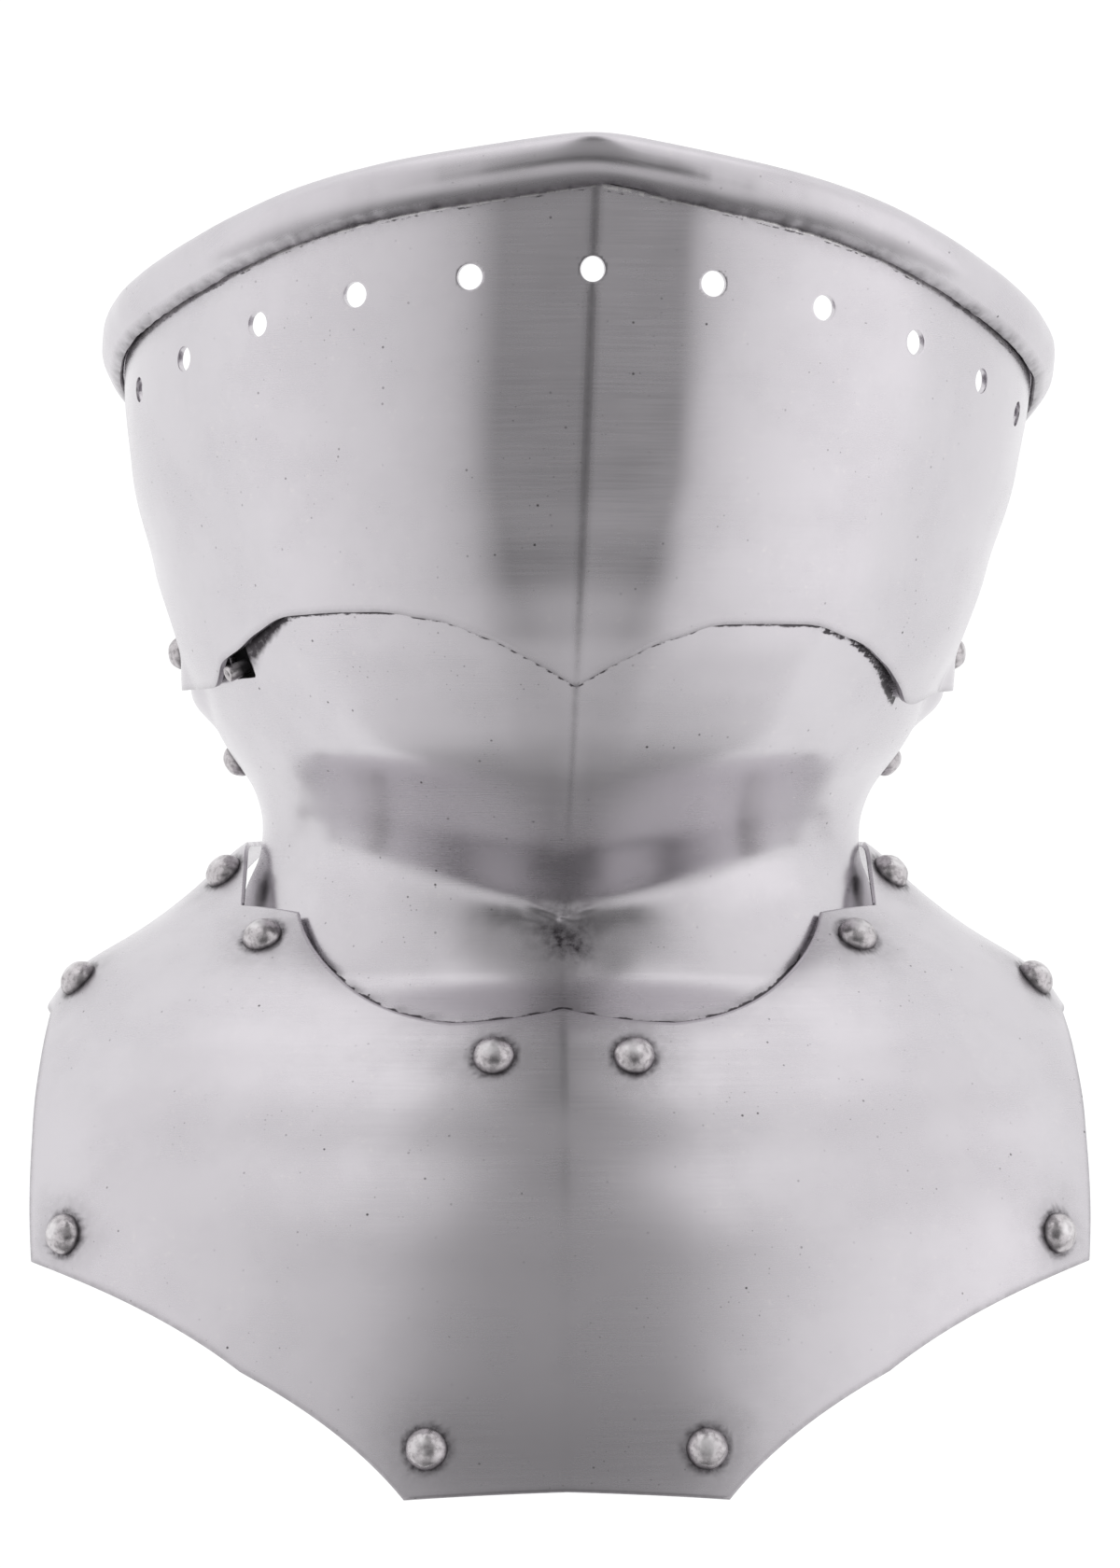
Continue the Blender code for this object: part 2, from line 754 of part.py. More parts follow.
def build_rivets(parts, falling_plate, chin_plate, bib):
    for side, side_name in ((-1, "left"), (1, "right")):
        pivot = seated(face_at(form_point, side * math.pi / 2, 0.0), falling_plate)
        side_head = (SIDE_RIVET_RADIUS, SIDE_RIVET_HEIGHT)
        build_rivet(f"pivot_rivet_{side_name}", pivot, 2 * WALL + LAP_GAP, parts, *side_head)
        jaw = seated(jaw_rivet_frame(side), chin_plate)
        build_rivet(f"jaw_rivet_{side_name}", jaw, WALL, parts, *side_head)
        for row in BIB_RIVETS:
            frame = seated(bib_rivet_frame(side, row), bib)
            grip = 2 * WALL + LAP_GAP if row.through_flange else WALL
            build_rivet(f"{row.name}_{side_name}", frame, grip, parts)


def stand(parts, cutters):
    """Put the origin under the middle of the piece, on the surface it rests on."""
    bpy.context.view_layer.update()
    depsgraph = bpy.context.evaluated_depsgraph_get()
    low = Vector((math.inf,) * 3)
    high = -low
    for thing in parts.objects:
        shape = thing.evaluated_get(depsgraph)
        for vertex in shape.data.vertices:
            point = shape.matrix_world @ vertex.co
            low = Vector(map(min, low, point))
            high = Vector(map(max, high, point))
    middle = (low + high) / 2
    hinge = bpy.data.objects.new("hinge_line", None)
    parts.objects.link(hinge)
    for thing in list(parts.objects) + list(cutters.objects):
        if thing is not hinge:
            place = thing.matrix_world.copy()
            thing.parent = hinge
            thing.matrix_world = place
    hinge.location = (-middle.x, -middle.y, REST_DEPTH)


def build():
    clear_scene()
    parts = bpy.data.collections.new("steel_bevor_gorget")
    cutters = bpy.data.collections.new("cutters")
    bpy.context.scene.collection.children.link(parts)
    bpy.context.scene.collection.children.link(cutters)
    falling_plate = build_falling_plate(parts, cutters)
    chin_plate = build_chin_plate(parts, cutters)
    bib = build_bib(parts, cutters)
    build_catch(parts, cutters)
    build_rivets(parts, falling_plate, chin_plate, bib)
    stand(parts, cutters)


build()
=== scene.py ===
"""Steel bevor gorget, dressed: brushed plates with a rolled rim, domed rivets and a catch."""

import json
import math
from collections import namedtuple

import bmesh
import bpy
import numpy as np
from mathutils import Matrix, Vector, noise
from mathutils.bvhtree import BVHTree


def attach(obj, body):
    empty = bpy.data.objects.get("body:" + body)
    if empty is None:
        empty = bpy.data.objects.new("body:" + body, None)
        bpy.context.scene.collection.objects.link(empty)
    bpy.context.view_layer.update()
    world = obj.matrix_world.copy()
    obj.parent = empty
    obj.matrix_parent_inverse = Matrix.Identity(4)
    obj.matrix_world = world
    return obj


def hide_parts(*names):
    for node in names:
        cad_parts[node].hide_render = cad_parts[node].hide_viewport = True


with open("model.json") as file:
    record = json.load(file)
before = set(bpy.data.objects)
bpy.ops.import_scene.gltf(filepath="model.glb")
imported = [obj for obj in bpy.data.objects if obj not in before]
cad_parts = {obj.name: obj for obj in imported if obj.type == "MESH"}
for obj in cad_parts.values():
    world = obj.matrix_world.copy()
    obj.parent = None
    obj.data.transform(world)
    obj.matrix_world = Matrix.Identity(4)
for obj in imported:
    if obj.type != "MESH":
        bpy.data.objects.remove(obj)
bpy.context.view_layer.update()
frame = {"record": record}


def table(columns, rows):
    """Rows whose columns have names."""
    row_type = namedtuple("Row", columns)
    return [row_type(*row) for row in rows]


# Sheet and clearances, in metres
WALL = 0.0015
LAP_GAP = 0.0009
SIDE_GAP = 0.0010
EDGE_ROUND = 0.00035

# The upper plates' form
HINGE = Vector(frame["record"]["behaviour"]["joints"][0]["pos_m"])
RIM_HEIGHT = 0.108
NECK_DROP = 0.066
NECK_HALF_WIDTH = 0.0775
FACE_HALF_WIDTH = 0.1135
FACE_DEPTH = 0.1115
BACK_DEPTH = 0.105
CREASE_CLIMB = 0.0180
CREASE_ROUND = 0.12
KEEL = 0.0020
KEEL_HALF_WIDTH = 0.021
KEEL_ROUND = 0.0003
LEAN = 0.037
RIM_TILT = 0.0030
EDGE_DROP = 0.010
FACE_BACK = 0.030
REST_DEPTH = 0.038
PIVOT_HALF_WIDTH = 0.0970
PAD_RADIUS = 0.0095
PAD_BLEND_RADIUS = 0.0200

# The rolled rim
ROLL_HEIGHT = 0.0136
ROLL_HALF_GAP = 0.0022
ROLL_TOP = 0.0036
ROLL_TUCK = 0.0016
ROLL_LIP_OUT = 0.0004
ROLL_SLACK = 0.0002
# The front of the roll, outward in shares of ROLL_HALF_GAP and up in shares of its rise
ROLL_BULGE = namedtuple("Place", "out up")(2.18, 0.56)
ROLL_RIPPLE = 0.0004
ROLL_FINE_RIPPLE = 0.00005
ROLL_LIP_RIPPLE = 0.0003
ROLL_LIP_FINE_RIPPLE = 0.00035
ROLL_PINCH = 0.0022
ROLL_PINCH_PLACE = 0.0130
ROLL_PINCH_WIDTH = 0.0050
ROLL_FOOT_STEPS = 6

# Lining holes
LINING_HOLE_RADIUS = 0.0031
LINING_HOLE_STEP = math.radians(14.7)
LINING_HOLES_A_SIDE = 6
LINING_DROP = 0.0194
PIVOT_HOLE_RADIUS = 0.0024

# The bib
BIB_DROP = 0.200
BIB_HALF_WIDTH = 0.130
BIB_DEPTH = 0.117
BIB_KEEL = 0.0014
BIB_KEEL_HALF_WIDTH = 0.045

# Rivets and catch
RIVET_RADIUS = 0.0050
RIVET_HEIGHT = 0.0042
SIDE_RIVET_RADIUS = 0.0042
SIDE_RIVET_HEIGHT = 0.0036
RIVET_END_RADIUS = 0.0033
RIVET_END_HEIGHT = 0.0012
RIVET_BED = 0.00015
RIVET_SHANK_RADIUS = 0.0020
RIVET_SKIRT = 0.0003
SHEET_SLACK = 0.0002
SEAT_REACH = 0.006
JAW_RIVET_ANGLE = math.radians(96)
JAW_RIVET_DROP = 0.41
STUD_RADIUS = 0.0020
STUD_PROUD = 0.0036
STUD_ANGLE = math.radians(-61.3)
STUD_HEIGHT = -0.0049
WINDOW_SIZE = 0.0105
WINDOW_TURN = math.radians(1.1)
WINDOW_RISE = 0.0027
LEAF_THICKNESS = 0.0010
LEAF_GAP = 0.0009
LEAF_HALF_WIDTH = 0.0068
LEAF_RISE = 0.0018
LEAF_OVERHANG = math.radians(4.5)
LEAF_ANGLE = math.radians(-38)
LEAF_DROP = 0.0100

# Plan sections from the rim down to the neck: heights in RIM_HEIGHT above the hinge line
# and in NECK_DROP below it, and the rest in the form's own sizes.
FORM = table("height width depth keel keel_width", [
    (1.20, 2.028, 0.996, 1.00, 1.00),
    (0.70, 2.013, 1.000, 1.00, 1.00),
    (0.45, 1.946, 0.996, 1.00, 1.00),
    (0.22, 1.770, 0.978, 0.80, 0.82),
    (0.04, 1.625, 0.951, 0.52, 0.56),
    (-0.12, 1.477, 0.919, 0.34, 0.38),
    (-0.25, 1.379, 0.888, 0.22, 0.26),
    (-0.39, 1.237, 0.848, 0.15, 0.20),
    (-0.57, 1.032, 0.776, 0.15, 0.20),
    (-0.68, 0.999, 0.726, 0.15, 0.22),
    (-0.76, 1.004, 0.686, 0.14, 0.26),
    (-0.85, 1.070, 0.632, 0.12, 0.35),
    (-1.00, 1.180, 0.575, 0.15, 0.80),
    (-1.16, 1.433, 0.596, 0.40, 1.40),
])
# How far the crease at the neck climbs from the middle to each side, in shares of
# CREASE_CLIMB, at heights in shares of NECK_DROP.
CREASE_FADE = table("height share", [
    (-0.38, 0.00),
    (-0.76, 1.00),
    (-0.92, 1.00),
    (-1.20, 0.00),
])
FLANGE = table("drop width", [
    (0.45, 0.82),
    (0.50, 0.85),
    (0.54, 0.88),
])
RIM = table("angle foot holes", [
    (0.0, 1.000, 1.00),
    (14.7, 0.957, 0.88),
    (30.8, 0.902, 0.82),
    (44.4, 0.832, 0.75),
    (59.0, 0.750, 0.68),
    (74.4, 0.678, 0.62),
    (90.0, 0.608, 0.58),
    (107.0, 0.520, 0.55),
])
LOWER_EDGE = table("angle left right", [
    (0.0, -1.00, -1.00),
    (7.0, -0.33, -0.33),
    (14.0, 0.24, 0.18),
    (22.5, 0.66, 0.50),
    (31.0, 0.80, 0.52),
    (41.0, 0.76, 0.24),
    (50.5, 0.36, -0.31),
    (56.0, -0.03, -0.71),
    (60.0, -0.22, -1.04),
    (63.0, -0.40, -1.29),
    (65.0, -0.66, -1.34),
    (70.0, -0.94, -1.24),
    (76.0, -0.95, -1.08),
    (84.0, -0.95, -0.98),
    (94.0, -0.88, -0.88),
    (98.0, -0.45, -0.45),
    (102.0, 0.40, 0.40),
    (107.0, 1.50, 1.50),
])
CHIN_EDGE = table("angle top foot", [
    (0.0, 0.205, -0.525),
    (20.0, 0.205, -0.521),
    (45.0, 0.190, -0.469),
    (65.0, 0.150, -0.383),
    (80.0, 0.115, -0.347),
    (86.0, 0.100, -0.337),
    (90.0, 0.094, -0.333),
    (93.0, 0.070, -0.330),
    (95.0, 0.010, -0.327),
    (97.0, -0.045, -0.327),
    (103.0, -0.090, -0.320),
    (114.0, -0.135, -0.310),
])
SIDE_CLEARANCE = table("angle share", [
    (25.0, 0.00),
    (30.0, 0.10),
    (50.0, 1.00),
    (62.0, 1.00),
    (77.0, 0.15),
    (82.0, 0.00),
])
BIB = table("drop width depth", [
    (0.20, 0.822, 0.260),
    (0.24, 1.022, 0.342),
    (0.28, 1.188, 0.397),
    (0.32, 1.369, 0.453),
    (0.35, 1.530, 0.498),
    (0.41, 1.871, 0.596),
    (0.44, 1.950, 0.641),
    (0.50, 2.124, 0.718),
    (0.60, 2.285, 0.812),
    (0.75, 2.371, 0.915),
    (1.02, 2.409, 1.000),
])
# The bib's outline from the front to the back: stretches of the neckline and the hem.
OUTLINE = table("steps neck hem", [
    (22, ((0.000, 0.435), (0.168, 0.447), (0.346, 0.452)),
     ((0.000, 0.9985), (0.248, 1.003), (0.498, 1.010))),
    (66, ((0.346, 0.452), (0.545, 0.436), (0.691, 0.402)),
     ((0.498, 1.010), (1.069, 0.853), (1.990, 0.748))),
    (24, ((0.691, 0.402), (0.785, 0.362), (0.829, 0.322)),
     ((1.990, 0.748), (2.002, 0.670), (1.995, 0.590))),
    (14, ((0.829, 0.322), (0.919, 0.317), (1.019, 0.314)),
     ((1.995, 0.590), (1.988, 0.555), (1.975, 0.520))),
    (16, ((1.019, 0.314), (1.014, 0.275), (1.010, 0.2375)),
     ((1.975, 0.520), (1.958, 0.485), (1.936, 0.450))),
])
SHOULDER_STEPS = 20
SHOULDER_NECK_DROP = 0.2375
SHOULDER_END_DROP = 0.420
BIB_RIVETS = table("name across drop through_flange", [
    ("bib_front_rivet", 0.218, 0.492, True),
    ("bib_collar_rivet", 0.944, 0.352, False),
    ("bib_nape_rivet", 1.109, 0.276, False),
    ("bib_shoulder_rivet", 1.797, 0.408, False),
    ("bib_side_rivet", 1.827, 0.712, False),
    ("bib_hem_rivet", 0.428, 0.950, False),
])

# Dents of the stretched neck, from the middle and above the hinge line, turned in degrees
NECK_DENTS = table("x height turn length width depth", [
    (-0.0045, -0.0638, -27, 0.0045, 0.0008, 0.00028),
    (-0.0032, -0.0653, -22, 0.0030, 0.0007, -0.00020),
    (-0.0005, -0.0695, -24, 0.0035, 0.0008, 0.00025),
    (0.0059, -0.0635, 18, 0.0022, 0.0007, 0.00020),
    (0.0002, -0.0656, 0, 0.0013, 0.0008, 0.00055),
    (0.0025, -0.0664, 10, 0.0030, 0.0008, 0.00020),
    (-0.0070, -0.0665, -15, 0.0030, 0.0009, 0.00015),
    (0.0090, -0.0755, 0, 0.0055, 0.0045, 0.00025),
])

# Unevenness of the plates and of the dirt and painted shade on them, by place
Unevenness = namedtuple("Unevenness", "seed depth size")
FACE_HAMMERING = Unevenness(3.0, 0.00005, 0.030)
CHIN_HAMMERING = Unevenness(13.0, 0.00007, 0.028)
BIB_HAMMERING = Unevenness(23.0, 0.00009, 0.045)
NECK_PUCKERING = Unevenness(37.0, 0.00012, 0.0040)
FACE_CRUMBLE = Unevenness(9.0, 1.0, 0.0045)
CHIN_CRUMBLE = Unevenness(29.0, 1.0, 0.006)
BIB_CRUMBLE = Unevenness(31.0, 1.0, 0.007)

# Places at the foot of the neck: the puckered sheet, and the stain with its darker core
Spot = namedtuple("Spot", "x height half_width half_height")
NECK_PUCKER = Spot(-0.0020, -0.0660, 0.0120, 0.0060)
NECK_STAIN = Spot(0.0010, -0.0690, 0.0085, 0.0085)
NECK_STAIN_CORE = Spot(0.0013, -0.0727, 0.0050, 0.0022)

# The radii that turn an angle into a length along the sheet, for the brushing
BRUSHING_RADIUS = 0.11
BIB_BRUSHING_RADIUS = 0.13

# Marks on the plates, dirt and painted shade among them: a seam's dark line is at one, and falls to
# nothing over its reach
SEAM_REACH = 0.012
SEAM_COVERED = 0.0020
KEEL_FOOT = 0.0766
FACE_KEEL_LINE = 0.0008
CHIN_KEEL_LINE = 0.0009
CUSP_SHADE = (50.0, 60.0, 62.0, 64.0)
CRESCENT = (41.0, 57.0, 60.0, 63.0)
CRESCENT_WIDTH = 0.0038
NECK_SHADE_REACH = 0.060
NECK_SHADE_WIDTH = 0.0012
RIVET_SHADE_REACH = 0.0054
RIVET_SHADE_WIDTH = 0.0011
RIVET_HALO = 0.010
FACE_EDGE_SHADE = 0.0009
HEM_SHADE = 0.0010
SHOULDER_CREASE = namedtuple("Crease", "x height turn length width depth")(
    0.106, -0.0775, -30.8, 0.022, 0.0035, 0.0003)

# Brightness of the board and of the tent. The tent's walls go round the object's height,
# and the gap for the lens is between its two shaded turns.
BOARD_LIGHT = 1.0
BRIGHTEST = 1.5
LEFT_LIGHT = math.radians(-31)
LEFT_SHADE = math.radians(-18)
RIGHT_SHADE = math.radians(25)
RIGHT_LIGHT = math.radians(27.5)
WALLS = table("degrees level", [
    (-180, 1.05),
    (-120, 1.12),
    (-90, 1.16),
    (-65, 1.02),
    (-45, 0.92),
    (-30, 0.66),
    (30, 0.88),
    (45, 1.06),
    (65, 1.24),
    (90, 1.28),
    (120, 1.12),
    (180, 1.05),
])
ENDS = table("degrees level", [
    (-85, 0.18),
    (-70, 0.26),
    (-55, 0.60),
    (-42, 0.80),
    (-24, 0.90),
    (24, 0.98),
    (45, 1.04),
    (62, 1.28),
    (85, 1.20),
])
LENS_RISE = table("degrees level", [
    (-75, 0.22),
    (-45, 0.62),
    (-28, 0.66),
    (-14, 0.20),
    (-4, 0.06),
    (4, 0.18),
    (16, 0.42),
    (45, 0.40),
    (65, 0.16),
    (85, 0.14),
])

# Grid sizes of the plates
FACE_COLUMNS = 350
FACE_ROWS = 92
# Columns to each side over which the roll is bent smoothly around the keel
ROLL_SOFTENING = 11
ROLL_SOFT_REACH = 0.030
ROLL_ARC_STEPS = 14
ROLL_SIDE_STEPS = 12
CHIN_COLUMNS = 320
CHIN_ROWS = 112
BIB_ROWS = 120


def mix(start, end, share):
    return start + (end - start) * share


def smooth_step(start, end, value):
    share = np.clip((value - start) / (end - start), 0.0, 1.0)
    return share * share * (3 - 2 * share)


def stretch(degrees, value):
    """Nothing up to the first of four angles, one between the middle two, and nothing
    again from the last."""
    start, full, ease, end = degrees
    return smooth_step(start, full, value) * (1 - smooth_step(ease, end, value))


def fade(distance, width):
    return np.exp(-(distance / width) ** 2)


def curve_through(rows, value):
    """A table's row at a value of its first column, smooth and without overshoot."""
    rows = sorted(rows)
    value = min(rows[-1][0], max(rows[0][0], value))
    index = 0
    while index < len(rows) - 2 and value > rows[index + 1][0]:
        index += 1
    low, high = rows[index], rows[index + 1]
    span = high[0] - low[0]
    share = (value - low[0]) / span
    result = [value]
    for column in range(1, len(low)):
        rise = (high[column] - low[column]) / span
        slopes = []
        for place, other in ((index, index - 1), (index + 1, index + 2)):
            if 0 <= other < len(rows):
                reach = rows[other][0] - rows[place][0]
                outer = (rows[other][column] - rows[place][column]) / reach
                slopes.append(2 * rise * outer / (rise + outer) if rise * outer > 0 else 0.0)
            else:
                slopes.append(rise)
        start = low[column] + slopes[0] * span * share
        end = high[column] - slopes[1] * span * (1 - share)
        result.append(mix(start, end, share * share * (3 - 2 * share)))
    return result


class Curve:
    """A table sampled finely and planished, so that no reflection breaks at a row."""

    def __init__(self, rows, step, soften):
        low, high = min(row[0] for row in rows), max(row[0] for row in rows)
        self.at = np.arange(low, high + step, step)
        values = np.array([curve_through(rows, at) for at in self.at])[:, 1:]
        reach = int(3 * soften / step)
        weights = np.exp(-0.5 * (np.arange(-reach, reach + 1) * step / soften) ** 2)
        weights /= weights.sum()
        self.columns = []
        for column in values.T:
            head = 2 * column[0] - column[reach:0:-1]
            tail = 2 * column[-1] - column[-2:-reach - 2:-1]
            self.columns.append(np.convolve(np.concatenate([head, column, tail]), weights, "valid"))

    def __call__(self, value):
        return [np.interp(value, self.at, column) for column in self.columns]


def distance_out(share, widest):
    """A distance from the middle line: 1 is at the neck's side, and 2 at the widest."""
    return np.where(
        np.less(share, 1), np.multiply(share, NECK_HALF_WIDTH),
        mix(NECK_HALF_WIDTH, widest, np.subtract(share, 1)))


bib_curve = Curve(
    [(row.drop, float(distance_out(row.width, BIB_HALF_WIDTH)), row.depth * BIB_DEPTH) for row in BIB],
    0.002, 0.010)


def bib_section(height):
    return bib_curve(-height / BIB_DROP)


def form_stations():
    stations = []
    for row in FORM:
        unit = RIM_HEIGHT if row.height > 0 else NECK_DROP
        stations.append((
            row.height * unit,
            float(distance_out(row.width, FACE_HALF_WIDTH)),
            row.depth * FACE_DEPTH,
            row.keel * KEEL,
            row.keel_width * KEEL_HALF_WIDTH,
        ))
    for row in FLANGE:
        height = -row.drop * BIB_DROP
        half_width, depth = bib_section(height)
        stations.append((
            height, float(half_width) * row.width, float(depth), BIB_KEEL, BIB_KEEL_HALF_WIDTH))
    return table("height half_width depth keel keel_half_width", stations)


form_curve = Curve(form_stations(), 0.0005, 0.0022)
crease_curve = Curve(CREASE_FADE, 0.01, 0.04)
rim_curve = Curve(RIM, 0.5, 3.0)
lower_edge_curve = Curve(LOWER_EDGE, 0.1, 0.7)
chin_edge_curve = Curve(CHIN_EDGE, 0.5, 1.2)
side_clearance = Curve(SIDE_CLEARANCE, 0.5, 3.0)


def stack(x, y, z):
    return np.stack(np.broadcast_arrays(x, y, z), axis=-1)


def ridge(x, keel, half_width):
    """A keel with hollow flanks and a slightly worn crest."""
    soft = np.sqrt(x * x + KEEL_ROUND ** 2) - KEEL_ROUND
    share = np.clip(1 - soft / half_width, 0.0, 1.0)
    return keel * share * share


def form_point(angle, height, inset=0.0):
    """Points of the upper plates' form, from the hinge line."""
    half_width, _, keel, keel_half_width = form_curve(height)
    side = np.hypot(np.sin(angle), CREASE_ROUND) - CREASE_ROUND
    climb = CREASE_CLIMB * side * crease_curve(np.asarray(height) / NECK_DROP)[0]
    depth = form_curve(height - climb)[1]
    front = np.cos(angle) > 0
    x = (half_width - inset) * np.sin(angle)
    z = (np.where(front, depth, BACK_DEPTH) - inset) * np.cos(angle)
    z = z + np.where(front, ridge(x, keel, keel_half_width), 0.0)
    lean_from = FORM[-1].height * NECK_DROP
    x = x + LEAN * np.maximum(0.0, height - lean_from)
    pad = np.copysign(PIVOT_HALF_WIDTH - inset, angle) + LEAN * -lean_from
    x = mix(pad, x, smooth_step(PAD_RADIUS, PAD_BLEND_RADIUS, np.hypot(z, height)))
    return stack(x, height, z)


def chin_point(angle, height, inset=0.0):
    """Points of the chin plate's outer face."""
    share = side_clearance(np.abs(np.degrees(angle)))[0]
    return form_point(angle, height, WALL + LAP_GAP + SIDE_GAP * share + inset)


def bib_point(angle, height):
    """Points of the bib's outer face."""
    half_width, depth = bib_section(height)
    front = np.cos(angle) > 0
    x = half_width * np.sin(angle)
    z = np.where(front, depth, BACK_DEPTH) * np.cos(angle)
    z = z + np.where(front, ridge(x, BIB_KEEL, BIB_KEEL_HALF_WIDTH), 0.0)
    return stack(x, height, z)


def bib_place(across, drop):
    """The angle and height of a place in the bib's outline."""
    height = -drop * BIB_DROP
    out = math.copysign(distance_out(abs(across), BIB_HALF_WIDTH), across)
    return math.asin(max(-1.0, min(1.0, out / bib_section(height)[0]))), height


def face_at(surface, angle, height):
    """A frame on a surface: Z out of the sheet and Y up along it."""
    turn, step = 0.004, 0.0004
    places = surface(
        np.array([angle, angle + turn, angle - turn, angle, angle]),
        np.array([height, height, height, height + step, height - step]),
    )
    origin, right, left, above, below = (Vector(place) for place in places)
    across, along = right - left, above - below
    out = across.cross(along).normalized()
    up = (along - out * along.dot(out)).normalized()
    place = Matrix((up.cross(out), up, out)).transposed().to_4x4()
    place.translation = origin
    return Matrix.Translation(HINGE) @ place


def back_angle(depth_behind):
    """The angle at which a plate reaches a depth behind the hinge line."""
    return math.acos(-depth_behind / BACK_DEPTH)


def hammered(points, seed, depth, size):
    """Soft unevenness that the planishing hammer left, by place."""
    result = np.empty(points.size // 3)
    for number, point in enumerate(points.reshape(-1, 3)):
        place = Vector(point) / size + Vector((seed, 0, 0))
        result[number] = noise.noise(place) + 0.4 * noise.noise(place * 2.1)
    return (result * depth).reshape(points.shape[:-1])


def bump_at(across, along, width, height):
    """A round dent or bulge of depth one at the origin of its own coordinates."""
    return np.exp(-(across / width) ** 2 - (along / height) ** 2)


def spot_at(points, spot):
    return bump_at(
        points[..., 0] - spot.x, points[..., 1] - spot.height, spot.half_width, spot.half_height)


def dent_at(points, dent):
    """The depth of a long dent at places, from its own middle and along its own turn."""
    turn = math.radians(dent.turn)
    across, up = points[:, 0] - dent.x, points[:, 1] - dent.height
    return dent.depth * bump_at(
        across * math.cos(turn) + up * math.sin(turn),
        up * math.cos(turn) - across * math.sin(turn), dent.length, dent.width)


def sheet(points, across, along, marks):
    """A plate's outer face as a grid of places, with its UV map and its surface marks."""
    rows, columns = points.shape[0] - 1, points.shape[1] - 1
    face = bmesh.new()
    bmesh.ops.create_grid(face, x_segments=columns, y_segments=rows, size=1.0)
    layer = face.loops.layers.uv.new("brushing")
    layers = {mark: face.verts.layers.float.new(mark) for mark in marks}
    place_of = {}
    for vertex in face.verts:
        column = round((vertex.co.x + 1) / 2 * columns)
        row = round((vertex.co.y + 1) / 2 * rows)
        place_of[vertex] = (row, column)
        vertex.co = Vector(points[row, column]) + HINGE
        for mark, values in marks.items():
            vertex[layers[mark]] = float(values[row, column])
    for polygon in face.faces:
        for loop in polygon.loops:
            row, column = place_of[loop.vert]
            loop[layer].uv = (across[row, column], along[row, column])
    return face


def punch(face, tree, place, reach, outline):
    """Cut an outline out of a plate. Its faces are halved around the cut, the corners of
    the cut are spaced evenly along the outline, and the faces beside it are relaxed."""
    local = place.inverted()
    around = {vertex for vertex in face.verts if (local @ vertex.co).length < reach + 0.0028}
    edges = [edge for edge in face.edges if all(vertex in around for vertex in edge.verts)]
    bmesh.ops.subdivide_edges(face, edges=edges, cuts=1, use_grid_fill=True)
    inside = []
    for polygon in face.faces:
        centre = local @ polygon.calc_center_median()
        if centre.length < reach * 1.6 and centre.xy.length < outline(centre.xy, reach).length:
            inside.append(polygon)
    bmesh.ops.delete(face, geom=inside, context="FACES")
    open_edge = [(vertex, local @ vertex.co) for vertex in face.verts if vertex.is_boundary]
    ring = [
        (math.atan2(at.y, at.x), vertex) for vertex, at in open_edge if at.length < reach * 1.8
    ]
    ring.sort(key=lambda pair: pair[0])
    step = 2 * math.pi / len(ring)
    phase = sum(turn - number * step for number, (turn, _) in enumerate(ring)) / len(ring)
    phase = round((phase - math.pi / 4) / step) * step + math.pi / 4
    for number, (_, vertex) in enumerate(ring):
        turn = phase + number * step
        rim = outline(Vector((math.cos(turn), math.sin(turn))), reach)
        vertex.co = tree.find_nearest(place @ Vector((rim.x, rim.y, 0)))[0]
    beside = [
        vertex for vertex in face.verts
        if not vertex.is_boundary and (local @ vertex.co).length < reach + 0.0020
    ]
    for _ in range(8):
        bmesh.ops.smooth_vert(
            face, verts=beside, factor=0.5, use_axis_x=True, use_axis_y=True, use_axis_z=True)
    for vertex in beside:
        vertex.co = tree.find_nearest(vertex.co)[0]


def round_outline(toward, radius):
    return toward.normalized() * radius


def square_outline(toward, half):
    return toward * (half / max(abs(toward.x), abs(toward.y), 1e-9))


def crowded(start, end, count, centre, spread, gain):
    """Places from start to end that crowd around a centre."""
    at = np.linspace(start, end, 2000)
    weight = np.cumsum(1 + gain * fade(at - centre, spread))
    weight = (weight - weight[0]) / (weight[-1] - weight[0])
    return np.interp(np.linspace(0, 1, count + 1), weight, at)


def add_piece(mesh_data, name, body, nodes, material, smooth_angle=40):
    """Make a bmesh a piece of the object that rides on a body."""
    mesh = bpy.data.meshes.new(name)
    mesh_data.to_mesh(mesh)
    mesh_data.free()
    mesh.shade_smooth()
    mesh.set_sharp_from_angle(angle=math.radians(smooth_angle))
    piece = bpy.data.objects.new(name, mesh)
    bpy.context.scene.collection.objects.link(piece)
    mesh.materials.append(material)
    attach(piece, body)
    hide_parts(*nodes)
    return piece


def thicken(piece, thickness=WALL):
    """Give a plate its wall inward, and round its edges."""
    wall = piece.modifiers.new("wall", "SOLIDIFY")
    wall.thickness = thickness
    wall.offset = -1
    wall.use_even_offset = True
    rounding = piece.modifiers.new("worn edges", "BEVEL")
    rounding.width = EDGE_ROUND
    rounding.segments = 2
    rounding.limit_method = "ANGLE"
    rounding.angle_limit = math.radians(60)
    rounding.use_clamp_overlap = True


# Materials

SMOOTH = {"interpolation_type": "SMOOTHSTEP"}
TIMES = {"operation": "MULTIPLY"}
PLUS = {"operation": "ADD"}
COLOUR = {"data_type": "RGBA"}
MARKS = ("tarnish", "burnish", "seam")


def from_hex(code):
    """An sRGB hex colour as linear light."""
    result = []
    for start in (0, 2, 4):
        value = int(code[start:start + 2], 16) / 255
        result.append(value / 12.92 if value <= 0.04045 else ((value + 0.055) / 1.055) ** 2.4)
    return (*result, 1.0)


